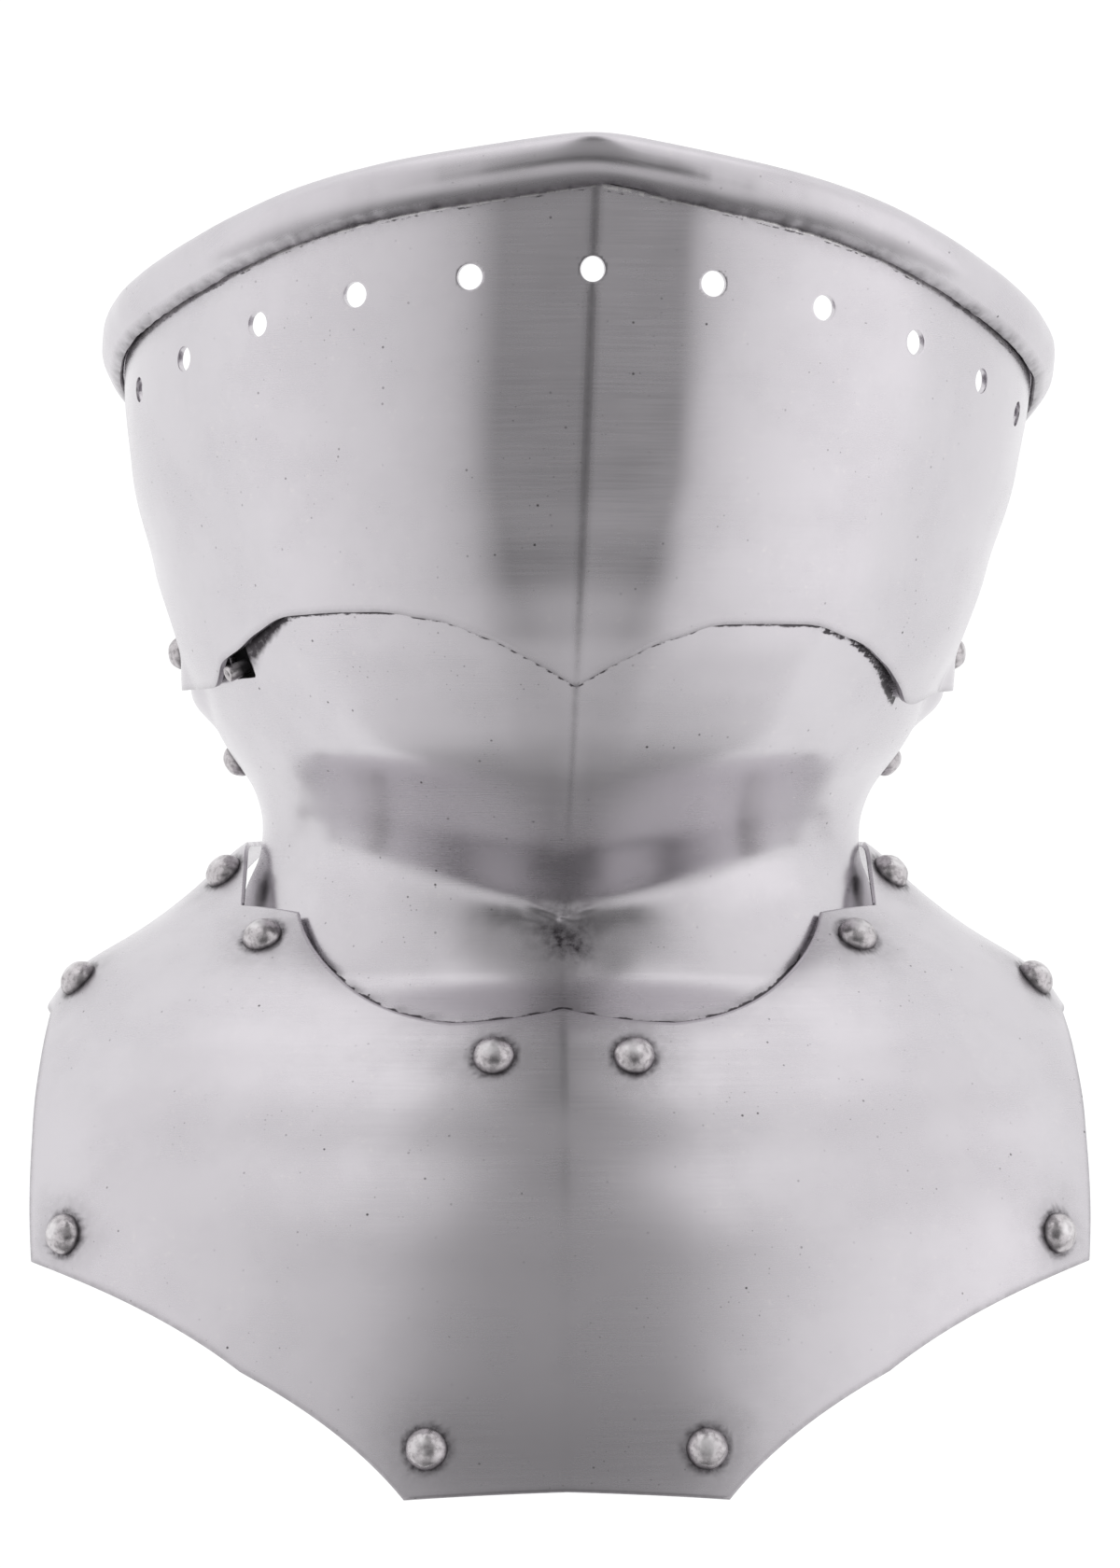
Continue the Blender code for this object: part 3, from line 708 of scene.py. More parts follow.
def add_node(tree, name, kind, links={}, values={}, settings={}):
    """Add a named node with the links into it, each from another node's name, a dot and
    the name or number of its output, and with its socket values and its settings."""
    node = tree.nodes.new("ShaderNode" + kind)
    node.name = name
    for key, value in settings.items():
        setattr(node, key, value)
    for key, value in values.items():
        node.inputs[key].default_value = value
    for key, source in links.items():
        source_name, output = source.split(".")
        outputs = tree.nodes[source_name].outputs
        tree.links.new(outputs[int(output) if output.isdigit() else output], node.inputs[key])


def span(start, end, low=0.0, high=1.0):
    """The inputs of a map range: the range that is read, and what its ends give."""
    return {1: start, 2: end, 3: low, 4: high}


def add_material(name, rows):
    """A material of the rows' nodes, the last of which is its shader."""
    material = bpy.data.materials.new(name)
    material.use_nodes = True
    material.node_tree.nodes.clear()
    for row in [*rows, ("output", "OutputMaterial", {"Surface": "shader.0"})]:
        add_node(material.node_tree, *row)
    return material


# In a colour mix, input 0 is the amount, and 6 and 7 are the two colours.

# Mild steel, ground and brushed along the sheet and lightly oiled: soft reflections drawn
# out across the brushing, a faint clouded patina, black pits, and dirt where a cloth can't
# reach, mixed with painted shade under the roll, along laps and edges and at the rivets'
# feet. The brush lines are 0.1 mm apart on the real sheet and drawn 0.6 mm apart to show.
# The clouds are 25 mm wide, and the pits 0.3 to 0.8 mm wide in some of the cells of 3 mm,
# with a finer dust of them beside. A seam is a torn dark line of painted shade along a lap,
# with a bright lip of worn metal and some crumbs below it, ragged every 2 mm across and
# 7 mm along.
plate_steel = add_material("brushed_steel_plate", [
    ("place", "TexCoord"),
    ("brushing", "UVMap", {}, {}, {"uv_map": "brushing"}),
    *[(mark, "Attribute", {}, {}, {"attribute_name": mark}) for mark in MARKS],
    ("line_place", "Mapping", {"Vector": "brushing.UV"}, {"Scale": (40.0, 1700.0, 1.0)}),
    ("lines", "TexNoise", {"Vector": "line_place.0"},
     {"Scale": 1.0, "Detail": 3.0, "Roughness": 0.6}, {"noise_dimensions": "2D"}),
    ("clouds", "TexNoise", {"Vector": "place.Object"},
     {"Scale": 40.0, "Detail": 5.0, "Roughness": 0.6}),
    ("grit", "TexNoise", {"Vector": "place.Object"},
     {"Scale": 420.0, "Detail": 4.0, "Roughness": 0.7}),
    ("cells", "TexVoronoi", {"Vector": "place.Object"}, {"Scale": 300.0}),
    ("cell_lot", "SeparateColor", {"Color": "cells.Color"}),
    ("cell_core", "MapRange", {0: "cells.Distance"}, span(0.05, 0.13, 1.0, 0.0), SMOOTH),
    ("cell_drawn", "MapRange", {0: "cell_lot.Red"}, span(0.68, 0.72), SMOOTH),
    ("cell_patch", "MapRange", {0: "clouds.0"}, span(0.44, 0.62, 0.12, 1.0), SMOOTH),
    ("pit_drawn", "Math", {0: "cell_core.0", 1: "cell_drawn.0"}, {}, TIMES),
    ("pits", "Math", {0: "pit_drawn.0", 1: "cell_patch.0"}, {}, TIMES),
    ("dust_cells", "TexVoronoi", {"Vector": "place.Object"}, {"Scale": 900.0}),
    ("dust_lot", "SeparateColor", {"Color": "dust_cells.Color"}),
    ("dust_core", "MapRange", {0: "dust_cells.Distance"}, span(0.08, 0.24, 0.6, 0.0), SMOOTH),
    ("dust_drawn", "MapRange", {0: "dust_lot.Green"}, span(0.86, 0.90), SMOOTH),
    ("dust_patch", "MapRange", {0: "clouds.0"}, span(0.46, 0.64), SMOOTH),
    ("dust_spots", "Math", {0: "dust_core.0", 1: "dust_drawn.0"}, {}, TIMES),
    ("dust", "Math", {0: "dust_spots.0", 1: "dust_patch.0"}, {}, TIMES),
    ("dirt", "Math", {0: "pits.0", 1: "dust.0"}, {}, PLUS),
    ("torn_place", "Mapping", {"Vector": "brushing.UV"}, {"Scale": (140.0, 420.0, 1.0)}),
    ("torn", "TexNoise", {"Vector": "torn_place.0"},
     {"Scale": 1.0, "Detail": 5.0, "Roughness": 0.75}, {"noise_dimensions": "2D"}),
    ("torn_edge", "MapRange", {0: "torn.0"}, span(0.25, 0.75, -0.030, 0.030)),
    ("seam_edge", "Math", {0: "seam.Fac", 1: "torn_edge.0"}, {}, PLUS),
    ("line", "MapRange", {0: "seam_edge.0"}, span(0.950, 0.980, 0.0, 0.95), SMOOTH),
    ("lip_low", "MapRange", {0: "seam_edge.0"}, span(0.850, 0.868), SMOOTH),
    ("lip_high", "MapRange", {0: "seam_edge.0"}, span(0.925, 0.945, 1.0, 0.0), SMOOTH),
    ("lip_whole", "Math", {0: "lip_low.0", 1: "lip_high.0"}, {}, TIMES),
    ("lip_left", "MapRange", {0: "grit.0"}, span(0.42, 0.52), SMOOTH),
    ("lip_part", "Math", {0: "lip_whole.0", 1: "lip_left.0"}, {}, TIMES),
    ("lip", "Math", {0: "lip_part.0", 1: "burnish.Fac"}, {}, TIMES),
    ("crumb_low", "MapRange", {0: "seam_edge.0"}, span(0.815, 0.830), SMOOTH),
    ("crumb_high", "MapRange", {0: "seam_edge.0"}, span(0.855, 0.870, 1.0, 0.0), SMOOTH),
    ("crumb_whole", "Math", {0: "crumb_low.0", 1: "crumb_high.0"}, {}, TIMES),
    ("crumb_left", "MapRange", {0: "torn.0"}, span(0.52, 0.60, 0.0, 0.8), SMOOTH),
    ("crumb_part", "Math", {0: "crumb_whole.0", 1: "crumb_left.0"}, {}, TIMES),
    ("crumbs", "Math", {0: "crumb_part.0", 1: "burnish.Fac"}, {}, TIMES),
    ("ragged", "MapRange", {0: "grit.0"}, span(0.30, 0.70, 0.70, 1.30), SMOOTH),
    # the dark mark: dirt, and painted shade under the roll, along laps and edges and at the rivets'
    # feet
    ("stain", "Math", {0: "tarnish.Fac", 1: "ragged.0"}, {},
     {"operation": "MULTIPLY", "use_clamp": True}),
    # a seam's dark line is painted shade along a lap; the crumbs are dark specks
    ("seam_dirt", "Math", {0: "line.0", 1: "crumbs.0"}, {}, {"operation": "MAXIMUM"}),
    ("grime", "Math", {0: "stain.0", 1: "seam_dirt.0"}, {}, {"operation": "MAXIMUM"}),
    ("patina", "MapRange", {0: "clouds.0"}, span(0.35, 0.68), SMOOTH),
    ("speck", "MapRange", {0: "grit.0"}, span(0.58, 0.74, 0.0, 0.35), SMOOTH),
    ("dirt_amount", "Math", {0: "dirt.0"}, {1: 0.9}, TIMES),
    ("worn", "Mix", {0: "patina.0"}, {6: from_hex("CDCACE"), 7: from_hex("C8C5C9")}, COLOUR),
    ("flecked", "Mix", {0: "speck.0", 6: "worn.2"}, {7: from_hex("D8D4D4")}, COLOUR),
    ("rubbed", "Mix", {0: "lip.0", 6: "flecked.2"}, {7: from_hex("F2F0F0")}, COLOUR),
    ("grimed", "Mix", {0: "grime.0", 6: "rubbed.2"}, {7: from_hex("474347")}, COLOUR),
    ("steel", "Mix", {0: "dirt_amount.0", 6: "grimed.2"}, {7: from_hex("3A3638")}, COLOUR),
    ("cloud_rough", "MapRange", {0: "clouds.0"}, span(0.30, 0.70, 0.225, 0.265), SMOOTH),
    ("line_rough", "MapRange", {0: "lines.0"}, span(0.30, 0.70, 0.00, 0.028), SMOOTH),
    ("grime_rough", "Math", {0: "grime.0"}, {1: 0.2}, TIMES),
    ("plain_rough", "Math", {0: "cloud_rough.0", 1: "line_rough.0"}, {}, PLUS),
    ("rough", "Math", {0: "plain_rough.0", 1: "grime_rough.0"}, {}, PLUS),
    ("line_rise", "Math", {0: "lines.0"}, {1: 0.30}, TIMES),
    ("dirt_rise", "Math", {0: "dirt.0"}, {1: -1.2}, TIMES),
    ("rise", "Math", {0: "line_rise.0", 1: "dirt_rise.0"}, {}, PLUS),
    ("bump", "Bump", {"Height": "rise.0"}, {"Strength": 0.10, "Distance": 0.00003}),
    ("tangent", "Tangent", {}, {}, {"direction_type": "UV_MAP", "uv_map": "brushing"}),
    ("shader", "BsdfPrincipled",
     {"Base Color": "steel.2", "Roughness": "rough.0", "Normal": "bump.0", "Tangent": "tangent.0"},
     {"Metallic": 1.0, "Anisotropic": 0.45, "Anisotropic Rotation": 0.25}),
])

# Forged rivet steel: a little darker than the sheet, hammered, painted black at the foot as
# shade, and with a worn crown painted lighter as a highlight. The spots are 1 mm wide, as they
# are on the real heads.
head_steel = add_material("forged_rivet_steel", [
    ("place", "TexCoord"),
    *[(mark, "Attribute", {}, {}, {"attribute_name": mark}) for mark in MARKS[:2]],
    ("spots", "TexNoise", {"Vector": "place.Object"},
     {"Scale": 700.0, "Detail": 4.0, "Roughness": 0.65}),
    ("scale", "MapRange", {0: "spots.0"}, span(0.42, 0.70), SMOOTH),
    ("worn", "Mix", {0: "scale.0"}, {6: from_hex("C3BFC1"), 7: from_hex("9A9698")}, COLOUR),
    ("crown", "Mix", {0: "burnish.Fac", 6: "worn.2"}, {7: from_hex("EDEBEC")}, COLOUR),
    ("steel", "Mix", {0: "tarnish.Fac", 6: "crown.2"}, {7: from_hex("3C393C")}, COLOUR),
    ("spot_rough", "MapRange", {0: "spots.0"}, span(0.35, 0.70, 0.24, 0.36), SMOOTH),
    ("grime_rough", "Math", {0: "tarnish.Fac"}, {1: 0.2}, TIMES),
    ("crown_rough", "Math", {0: "burnish.Fac"}, {1: 0.22}, TIMES),
    ("worn_rough", "Math", {0: "spot_rough.0", 1: "grime_rough.0"}, {}, PLUS),
    ("rough", "Math", {0: "worn_rough.0", 1: "crown_rough.0"}, {}, PLUS),
    ("bump", "Bump", {"Height": "spots.0"}, {"Strength": 0.5, "Distance": 0.00008}),
    ("shader", "BsdfPrincipled",
     {"Base Color": "steel.2", "Roughness": "rough.0", "Normal": "bump.0"}, {"Metallic": 1.0}),
])

# Spring steel left black from the fire, and painted near-black and dull, nearly without a reflection,
# as the shade seen through the window.
black_steel = add_material("spring_steel_fire_black_and_shade", [
    ("shader", "BsdfPrincipled", {},
     {"Base Color": from_hex("141314"), "Roughness": 0.8, "Specular IOR Level": 0.15}),
])

# A matt opal board, lit from below as a product photographer's table is, so that no
# shadow falls on it and the lining holes show white.
white_board = add_material("lit_white_board", [
    ("shader", "BsdfPrincipled", {},
     {"Base Color": from_hex("5A5A5C"), "Roughness": 0.9,
      "Emission Color": from_hex("FFFFFF"), "Emission Strength": BOARD_LIGHT}),
])


# Plates


def displaced(surface, angles, heights, depth_of):
    """Places of a surface, moved along its normal by a depth at each."""
    turn, step = 0.002, 0.0003
    across = surface(angles + turn, heights) - surface(angles - turn, heights)
    along = surface(angles, heights + step) - surface(angles, heights - step)
    out = np.cross(across, along)
    out /= np.linalg.norm(out, axis=-1, keepdims=True)
    points = surface(angles, heights)
    depth = depth_of(points.reshape(-1, 3)).reshape(points.shape[:-1])
    return points + out * depth[..., None]


def roll_path():
    """The roll's inner face: outward from the sheet and up from the foot of the roll."""
    rise = ROLL_HEIGHT - WALL - ROLL_TOP - ROLL_SLACK
    path = [(0.0, rise * step / ROLL_FOOT_STEPS) for step in range(1, ROLL_FOOT_STEPS + 1)]
    for step in range(1, ROLL_ARC_STEPS + 1):
        turn = math.pi * step / ROLL_ARC_STEPS
        path.append((ROLL_HALF_GAP * (1 - math.cos(turn)), rise + ROLL_TOP * math.sin(turn)))
    front = path[-1]
    bulge = (ROLL_HALF_GAP * ROLL_BULGE.out, rise * ROLL_BULGE.up)
    lip = (ROLL_LIP_OUT, ROLL_TUCK)
    for step in range(1, ROLL_SIDE_STEPS + 1):
        share = step / ROLL_SIDE_STEPS
        path.append(tuple(
            mix(mix(start, middle, share), mix(middle, end, share), share)
            for start, middle, end in zip(front, bulge, lip)
        ))
    return path


def build_falling_plate():
    edge = back_angle(FACE_BACK)
    angles = np.linspace(-edge, edge, FACE_COLUMNS + 1)
    degrees = np.abs(np.degrees(angles))
    foot_share, hole_share = rim_curve(degrees)
    foot = foot_share * RIM_HEIGHT - RIM_TILT * np.sin(angles)
    left, right = lower_edge_curve(degrees)
    low = np.where(angles > 0, right, left) * EDGE_DROP
    path = roll_path()
    shares = (np.arange(FACE_ROWS + 1) / FACE_ROWS)[:, None]
    plain_heights = mix(low[None, :], foot[None, :], shares)
    foot_rise = path[ROLL_FOOT_STEPS - 1][1]
    path_rise = np.array([min(up, foot_rise) for _, up in path])[:, None]
    heights = np.concatenate([plain_heights, foot[None, :] + path_rise])
    grid_angles = np.broadcast_to(angles, heights.shape)

    def depth_of(flat):
        return hammered(flat, *FACE_HAMMERING)

    points = displaced(form_point, grid_angles, heights, depth_of)
    # the roll bends outward from the sheet, square to the rim
    reach = np.where(np.cos(angles) > 0, FACE_DEPTH, BACK_DEPTH)
    outward = stack(reach * np.sin(angles), 0.0 * angles, FACE_HALF_WIDTH * np.cos(angles))
    outward /= np.linalg.norm(outward, axis=-1, keepdims=True)
    ripple = np.array([noise.noise(Vector((angle * 9, 2.0, 0))) for angle in angles])
    fine_ripple = np.array([noise.noise(Vector((angle * 42, 5.0, 0))) for angle in angles])
    x_rim = points[FACE_ROWS, :, 0]
    pinch = ROLL_PINCH * fade(x_rim - ROLL_PINCH_PLACE, ROLL_PINCH_WIDTH)
    for number, (out, up) in enumerate(path):
        row = FACE_ROWS + 1 + number
        side = max(0, number + 1 - ROLL_FOOT_STEPS - ROLL_ARC_STEPS) / ROLL_SIDE_STEPS
        outer = min(1.0, max(0.0, (number + 1 - ROLL_FOOT_STEPS) / ROLL_ARC_STEPS))
        push = out + (ROLL_RIPPLE * ripple + ROLL_FINE_RIPPLE * fine_ripple - 0.0001) * outer
        push = push + pinch * side * side
        raise_by = ROLL_LIP_RIPPLE * ripple + ROLL_LIP_FINE_RIPPLE * fine_ripple + pinch
        points[row] = points[row] + outward * push[:, None]
        points[row, :, 1] = foot + up + raise_by * side * side
    # the roll is bent smoothly around the keel
    kept = points.copy()
    middle = slice(ROLL_SOFTENING, -ROLL_SOFTENING)
    for number in range(len(path)):
        row = FACE_ROWS + 1 + number
        share = min(1.0, max(0.0, (number + 2 - ROLL_FOOT_STEPS) / 8))
        soft = 0.0
        for offset in range(-ROLL_SOFTENING, ROLL_SOFTENING + 1):
            weight = 1 + math.cos(math.pi * offset / (ROLL_SOFTENING + 1))
            stop = points.shape[1] - ROLL_SOFTENING + offset
            soft = soft + weight * kept[row, ROLL_SOFTENING + offset:stop]
        soft /= 2 * (ROLL_SOFTENING + 1)
        near = np.exp(-(kept[row, middle, 0] / ROLL_SOFT_REACH) ** 4)[:, None] * share
        points[row, middle] = mix(kept[row, middle], soft, near)
    across = grid_angles * BRUSHING_RADIUS
    along = heights.copy()
    along[FACE_ROWS + 1:] = foot[None, :] + 0.012 * np.linspace(0.3, 3.0, len(path))[:, None]
    below = foot[None, :] + ROLL_TUCK - heights
    plain = np.arange(heights.shape[0])[:, None] <= FACE_ROWS + 1
    seam = np.where(plain, np.clip(1 - below / SEAM_REACH, 0, 1), 0.0)
    crumble = hammered(points, *FACE_CRUMBLE)
    # painted shade on the plate under the roll, and on the roll's tucked lip
    shade = np.where(plain, fade(np.maximum(below, 0), 0.0035) * 0.22, 0.0)
    lip_rows = np.clip((np.arange(heights.shape[0]) - (heights.shape[0] - 5)) / 4.0, 0, 1)[:, None]
    tarnish = np.maximum(shade, lip_rows * (0.55 + 0.3 * crumble))
    # darker along the keel's crest, and painted shade along the lower edge
    from_keel = points[..., 0] - LEAN * (heights + KEEL_FOOT)
    keel_line = fade(from_keel, FACE_KEEL_LINE)
    keel_darkening = keel_line * smooth_step(-0.02, 0.02, heights) * 0.35 * plain
    edge_shade = fade(heights - low[None, :], FACE_EDGE_SHADE) * 0.25
    tarnish = np.clip(np.maximum(np.maximum(tarnish, keel_darkening), edge_shade), 0, 1)
    face = sheet(points, across, along, {
        "tarnish": tarnish, "burnish": np.ones(heights.shape), "seam": seam})
    tree = BVHTree.FromBMesh(face)
    for number in range(-LINING_HOLES_A_SIDE, LINING_HOLES_A_SIDE + 1):
        angle = number * LINING_HOLE_STEP
        share_foot, share_holes = rim_curve(abs(math.degrees(angle)))
        height = share_foot * RIM_HEIGHT - RIM_TILT * math.sin(angle) - share_holes * LINING_DROP
        punch(face, tree, face_at(form_point, angle, height), LINING_HOLE_RADIUS, round_outline)
    for side in (-1, 1):
        pivot = face_at(form_point, side * math.pi / 2, 0.0)
        punch(face, tree, pivot, PIVOT_HOLE_RADIUS, round_outline)
    piece = add_piece(face, "falling_plate_steel", "face", ["falling_plate"], plate_steel)
    thicken(piece)
    return piece


def build_chin_plate():
    edge = back_angle(REST_DEPTH)
    angles = crowded(-edge, edge, CHIN_COLUMNS, 0.0, 0.32, 1.6)
    degrees = np.abs(np.degrees(angles))
    top, foot = chin_edge_curve(degrees)
    shares = crowded(0.0, 1.0, CHIN_ROWS, 0.28, 0.10, 2.2)[:, None]
    heights = mix(foot[None, :] * BIB_DROP, top[None, :] * RIM_HEIGHT, shares)
    grid_angles = np.broadcast_to(angles, heights.shape)

    def depth_of(flat):
        depth = hammered(flat, *CHIN_HAMMERING)
        depth += spot_at(flat, NECK_PUCKER) * hammered(flat, *NECK_PUCKERING)
        for dent in NECK_DENTS:
            depth -= dent_at(flat, dent)
        return depth

    points = displaced(chin_point, grid_angles, heights, depth_of)
    x, y = points[..., 0], points[..., 1]
    crumble = hammered(points, *CHIN_CRUMBLE)
    keel_line = fade(x - LEAN * (heights + KEEL_FOOT), CHIN_KEEL_LINE)
    tarnish = keel_line * 0.20 * smooth_step(-0.060, -0.020, heights)
    tarnish = tarnish + spot_at(points, NECK_STAIN) * np.clip(0.75 + 0.5 * crumble, 0, 1)
    tarnish = tarnish + spot_at(points, NECK_STAIN_CORE) * 0.5
    window = face_at(chin_point, STUD_ANGLE + WINDOW_TURN, STUD_HEIGHT + WINDOW_RISE)
    # painted shade of a dent beside the window
    beside = window.translation + window.col[0].to_3d() * WINDOW_SIZE * 0.62 - HINGE
    away = np.linalg.norm(points - np.array(beside), axis=-1)
    tarnish = tarnish + 0.6 * fade(away, 0.0022)
    # painted shadow in the gap under the left arch, and the seam's painted shade widened at the cusp
    # of the right one
    left, right = lower_edge_curve(degrees)
    below = np.where(angles > 0, right, left)[None, :] * EDGE_DROP - heights
    turn = np.degrees(angles)[None, :]
    wide = 1 + 1.8 * stretch(CUSP_SHADE, turn)
    crescent = CRESCENT_WIDTH * stretch(CRESCENT, -turn) + 1e-6
    shadow = (1 - smooth_step(0.45, 1.0, below / crescent)) * (below > -SEAM_COVERED)
    tarnish = np.maximum(tarnish, shadow * smooth_step(0.0003, 0.0012, crescent))
    seam = np.where(below > 0, 1 - below / wide / SEAM_REACH, 1 + below / 0.040)
    seam = np.clip(seam, 0, 1) * (below > -SEAM_COVERED) * (np.abs(turn) < CUSP_SHADE[-1])
    # and painted shade in a ragged line on the chin plate along the bib's neckline, where the bib laps
    # over it
    necks = [face_at(bib_point, *column[0]).translation for column in bib_edges()]
    necks = np.array([neck - HINGE for neck in necks])
    necks = necks[necks[:, 0] < NECK_SHADE_REACH]
    rise = np.gradient(necks[:, 1], necks[:, 0])
    above = y - np.interp(np.abs(x), necks[:, 0], necks[:, 1])
    above = above / np.hypot(1, np.interp(np.abs(x), necks[:, 0], rise))
    beside_neck = (above > -0.0030) * (np.abs(x) < necks[-1, 0] - 0.001)
    neck_shade = fade(np.maximum(above, 0), NECK_SHADE_WIDTH) * (0.30 + 0.45 * crumble)
    tarnish = np.maximum(tarnish, neck_shade * beside_neck)
    neck_seam = np.clip(1 - np.maximum(above, 0) * 1.5 / SEAM_REACH, 0, 1)
    seam = np.maximum(seam, neck_seam * beside_neck)
    face = sheet(points, grid_angles * BRUSHING_RADIUS, heights, {
        "tarnish": np.clip(tarnish, 0, 1), "seam": seam})
    punch(face, BVHTree.FromBMesh(face), window, WINDOW_SIZE / 2, square_outline)
    piece = add_piece(face, "chin_plate_steel", "gorget", ["chin_plate"], plate_steel)
    thicken(piece)
    return piece


def curve_of_three(points, share):
    """A point of the curve through a start, a middle and an end."""
    weights = ((1 - share) * (1 - 2 * share), 4 * share * (1 - share), share * (2 * share - 1))
    return tuple(
        sum(weight * value for weight, value in zip(weights, values))
        for values in zip(*points)
    )


def bib_edges():
    """Places along the neckline and the hem, from the front to the viewer's right."""
    columns = []
    for row in OUTLINE:
        for step in range(row.steps):
            share = step / row.steps
            columns.append([bib_place(*curve_of_three(edge, share)) for edge in (row.neck, row.hem)])
    shoulder = [bib_place(*edge[-1]) for edge in (OUTLINE[-1].neck, OUTLINE[-1].hem)]
    end = back_angle(REST_DEPTH)
    back = [(end, -SHOULDER_NECK_DROP * BIB_DROP), (end, -SHOULDER_END_DROP * BIB_DROP)]
    for step in range(SHOULDER_STEPS + 1):
        share = step / SHOULDER_STEPS
        columns.append([
            tuple(mix(start, stop, share) for start, stop in zip(*ends))
            for ends in zip(shoulder, back)
        ])
    return columns


def bib_rivet_place(side, row):
    return face_at(bib_point, *bib_place(side * row.across, row.drop))


def build_bib():
    half = bib_edges()
    mirrored = [[(-angle, height) for angle, height in column] for column in reversed(half[1:])]
    columns = np.array(mirrored + half)
    shares = (np.arange(BIB_ROWS + 1) / BIB_ROWS)[:, None]
    grid_angles = mix(columns[None, :, 1, 0], columns[None, :, 0, 0], shares)
    heights = mix(columns[None, :, 1, 1], columns[None, :, 0, 1], shares)

    def depth_of(flat):
        # a faint crease across the viewer's right shoulder
        return hammered(flat, *BIB_HAMMERING) - dent_at(flat, SHOULDER_CREASE)

    points = displaced(bib_point, grid_angles, heights, depth_of)
    crumble = hammered(points, *BIB_CRUMBLE)
    tarnish = np.zeros(heights.shape)
    for row in BIB_RIVETS:
        for side in (-1, 1):
            centre = np.array(bib_rivet_place(side, row).translation - HINGE)
            away = np.linalg.norm(points - centre, axis=-1)
            # painted shade in a ring at the foot of each rivet head, and a soft dark halo around it
            ring = fade(np.maximum(away - RIVET_SHADE_REACH, 0), RIVET_SHADE_WIDTH) * 0.75
            halo = fade(away, RIVET_HALO + 0.003 * crumble) * 0.28
            tarnish = np.maximum(tarnish, np.maximum(ring, halo))
    # painted shade along the hem's edge
    from_hem = np.abs(heights - columns[None, :, 1, 1])
    edge_shade = fade(from_hem, HEM_SHADE) * 0.35
    tarnish = np.maximum(tarnish, edge_shade)
    face = sheet(points, grid_angles * BIB_BRUSHING_RADIUS, heights, {
        "tarnish": np.clip(tarnish, 0, 1)})
    piece = add_piece(face, "bib_plate_steel", "gorget", ["bib_plate"], plate_steel)
    thicken(piece)
    return piece


# Rivets and catch


def turned(profile, place, steps=44):
    """Spin a profile of distances out and along about a frame's Z."""
    shape = bmesh.new()
    corners = [shape.verts.new((out, 0.0, up)) for out, up in profile]
    edges = [shape.edges.new(pair) for pair in zip(corners, corners[1:])]
    bmesh.ops.spin(
        shape, geom=corners + edges, cent=(0, 0, 0), axis=(0, 0, 1), angle=2 * math.pi,
        steps=steps, use_merge=True, use_duplicate=False)
    bmesh.ops.remove_doubles(shape, verts=shape.verts[:], dist=1e-6)
    bmesh.ops.recalc_face_normals(shape, faces=shape.faces[:])
    bmesh.ops.transform(shape, matrix=place, verts=shape.verts[:])
    return shape


def seated(place, plate_tree):
    """Slide a frame along its Z onto a plate."""
    out = place.col[2].to_3d()
    hit = plate_tree.ray_cast(place.translation + out * SEAT_REACH, -out)[0]
    result = place.copy()
    if hit is not None:
        result.translation = hit
    return result


def dome_profile(radius, height, grip, seed):
    """A hammered dome with a rounded rim, its shank and the peened end inside."""
    flat = 0.10 + 0.05 * noise.noise(Vector((seed, 0, 0)))
    profile = [(0.0, height - RIVET_BED)]
    for step in range(1, 15):
        share = step / 14
        turn = share * math.pi / 2
        out = radius * math.sin(turn) ** 0.92
        up = height * (math.cos(turn) ** (0.95 + flat))
        profile.append((out, up - RIVET_BED))
    skirt = -RIVET_BED - RIVET_SKIRT
    profile += [(radius * 0.985, skirt), (RIVET_SHANK_RADIUS, skirt), (RIVET_SHANK_RADIUS, -grip)]
    profile += [(RIVET_END_RADIUS, -grip), (RIVET_END_RADIUS, -grip - RIVET_END_HEIGHT * 0.4)]
    profile += [(RIVET_END_RADIUS * 0.8, -grip - RIVET_END_HEIGHT), (0.0, -grip - RIVET_END_HEIGHT)]
    return profile


def build_rivet(name, place, plate_tree, grip, radius, height, seed):
    place = seated(place, plate_tree)
    shape = turned(dome_profile(radius, height, grip, seed), place)
    layer = shape.verts.layers.float.new("tarnish")
    shine = shape.verts.layers.float.new("burnish")
    local = place.inverted()
    scuff = noise.noise(Vector((seed, 3.0, 0)))
    for vertex in shape.verts:
        at = local @ vertex.co
        wobble = noise.noise(vertex.co * 420 + Vector((seed, 0, 0)))
        # the crown is worn rough and painted lighter, off-centre toward the upper left as a painted
        # highlight
        crown = math.hypot(at.x + 0.0005, at.y - 0.0004) / (radius * 0.44)
        if at.z > 0:
            vertex[shine] = math.exp(-crown ** 4) * min(1.0, max(0.0, 0.75 + 1.2 * wobble))
            vertex.co += place.to_3x3() @ Vector((at.x, at.y, at.z)) * 0.035 * wobble
        # painted shade at the foot of the head, where it meets the plate
        foot = 1 - min(1.0, max(0.0, at.z / (height * 0.32)))
        spot = math.exp(-((at.xy.length - 0.0006) / 0.0011) ** 2) * max(0.0, scuff + wobble)
        vertex[layer] = min(1.0, foot ** 1.5 * 0.85 + spot * 0.5) if at.z > 0 else 0.6
    add_piece(shape, name + "_steel", "gorget", [name], head_steel, 50)


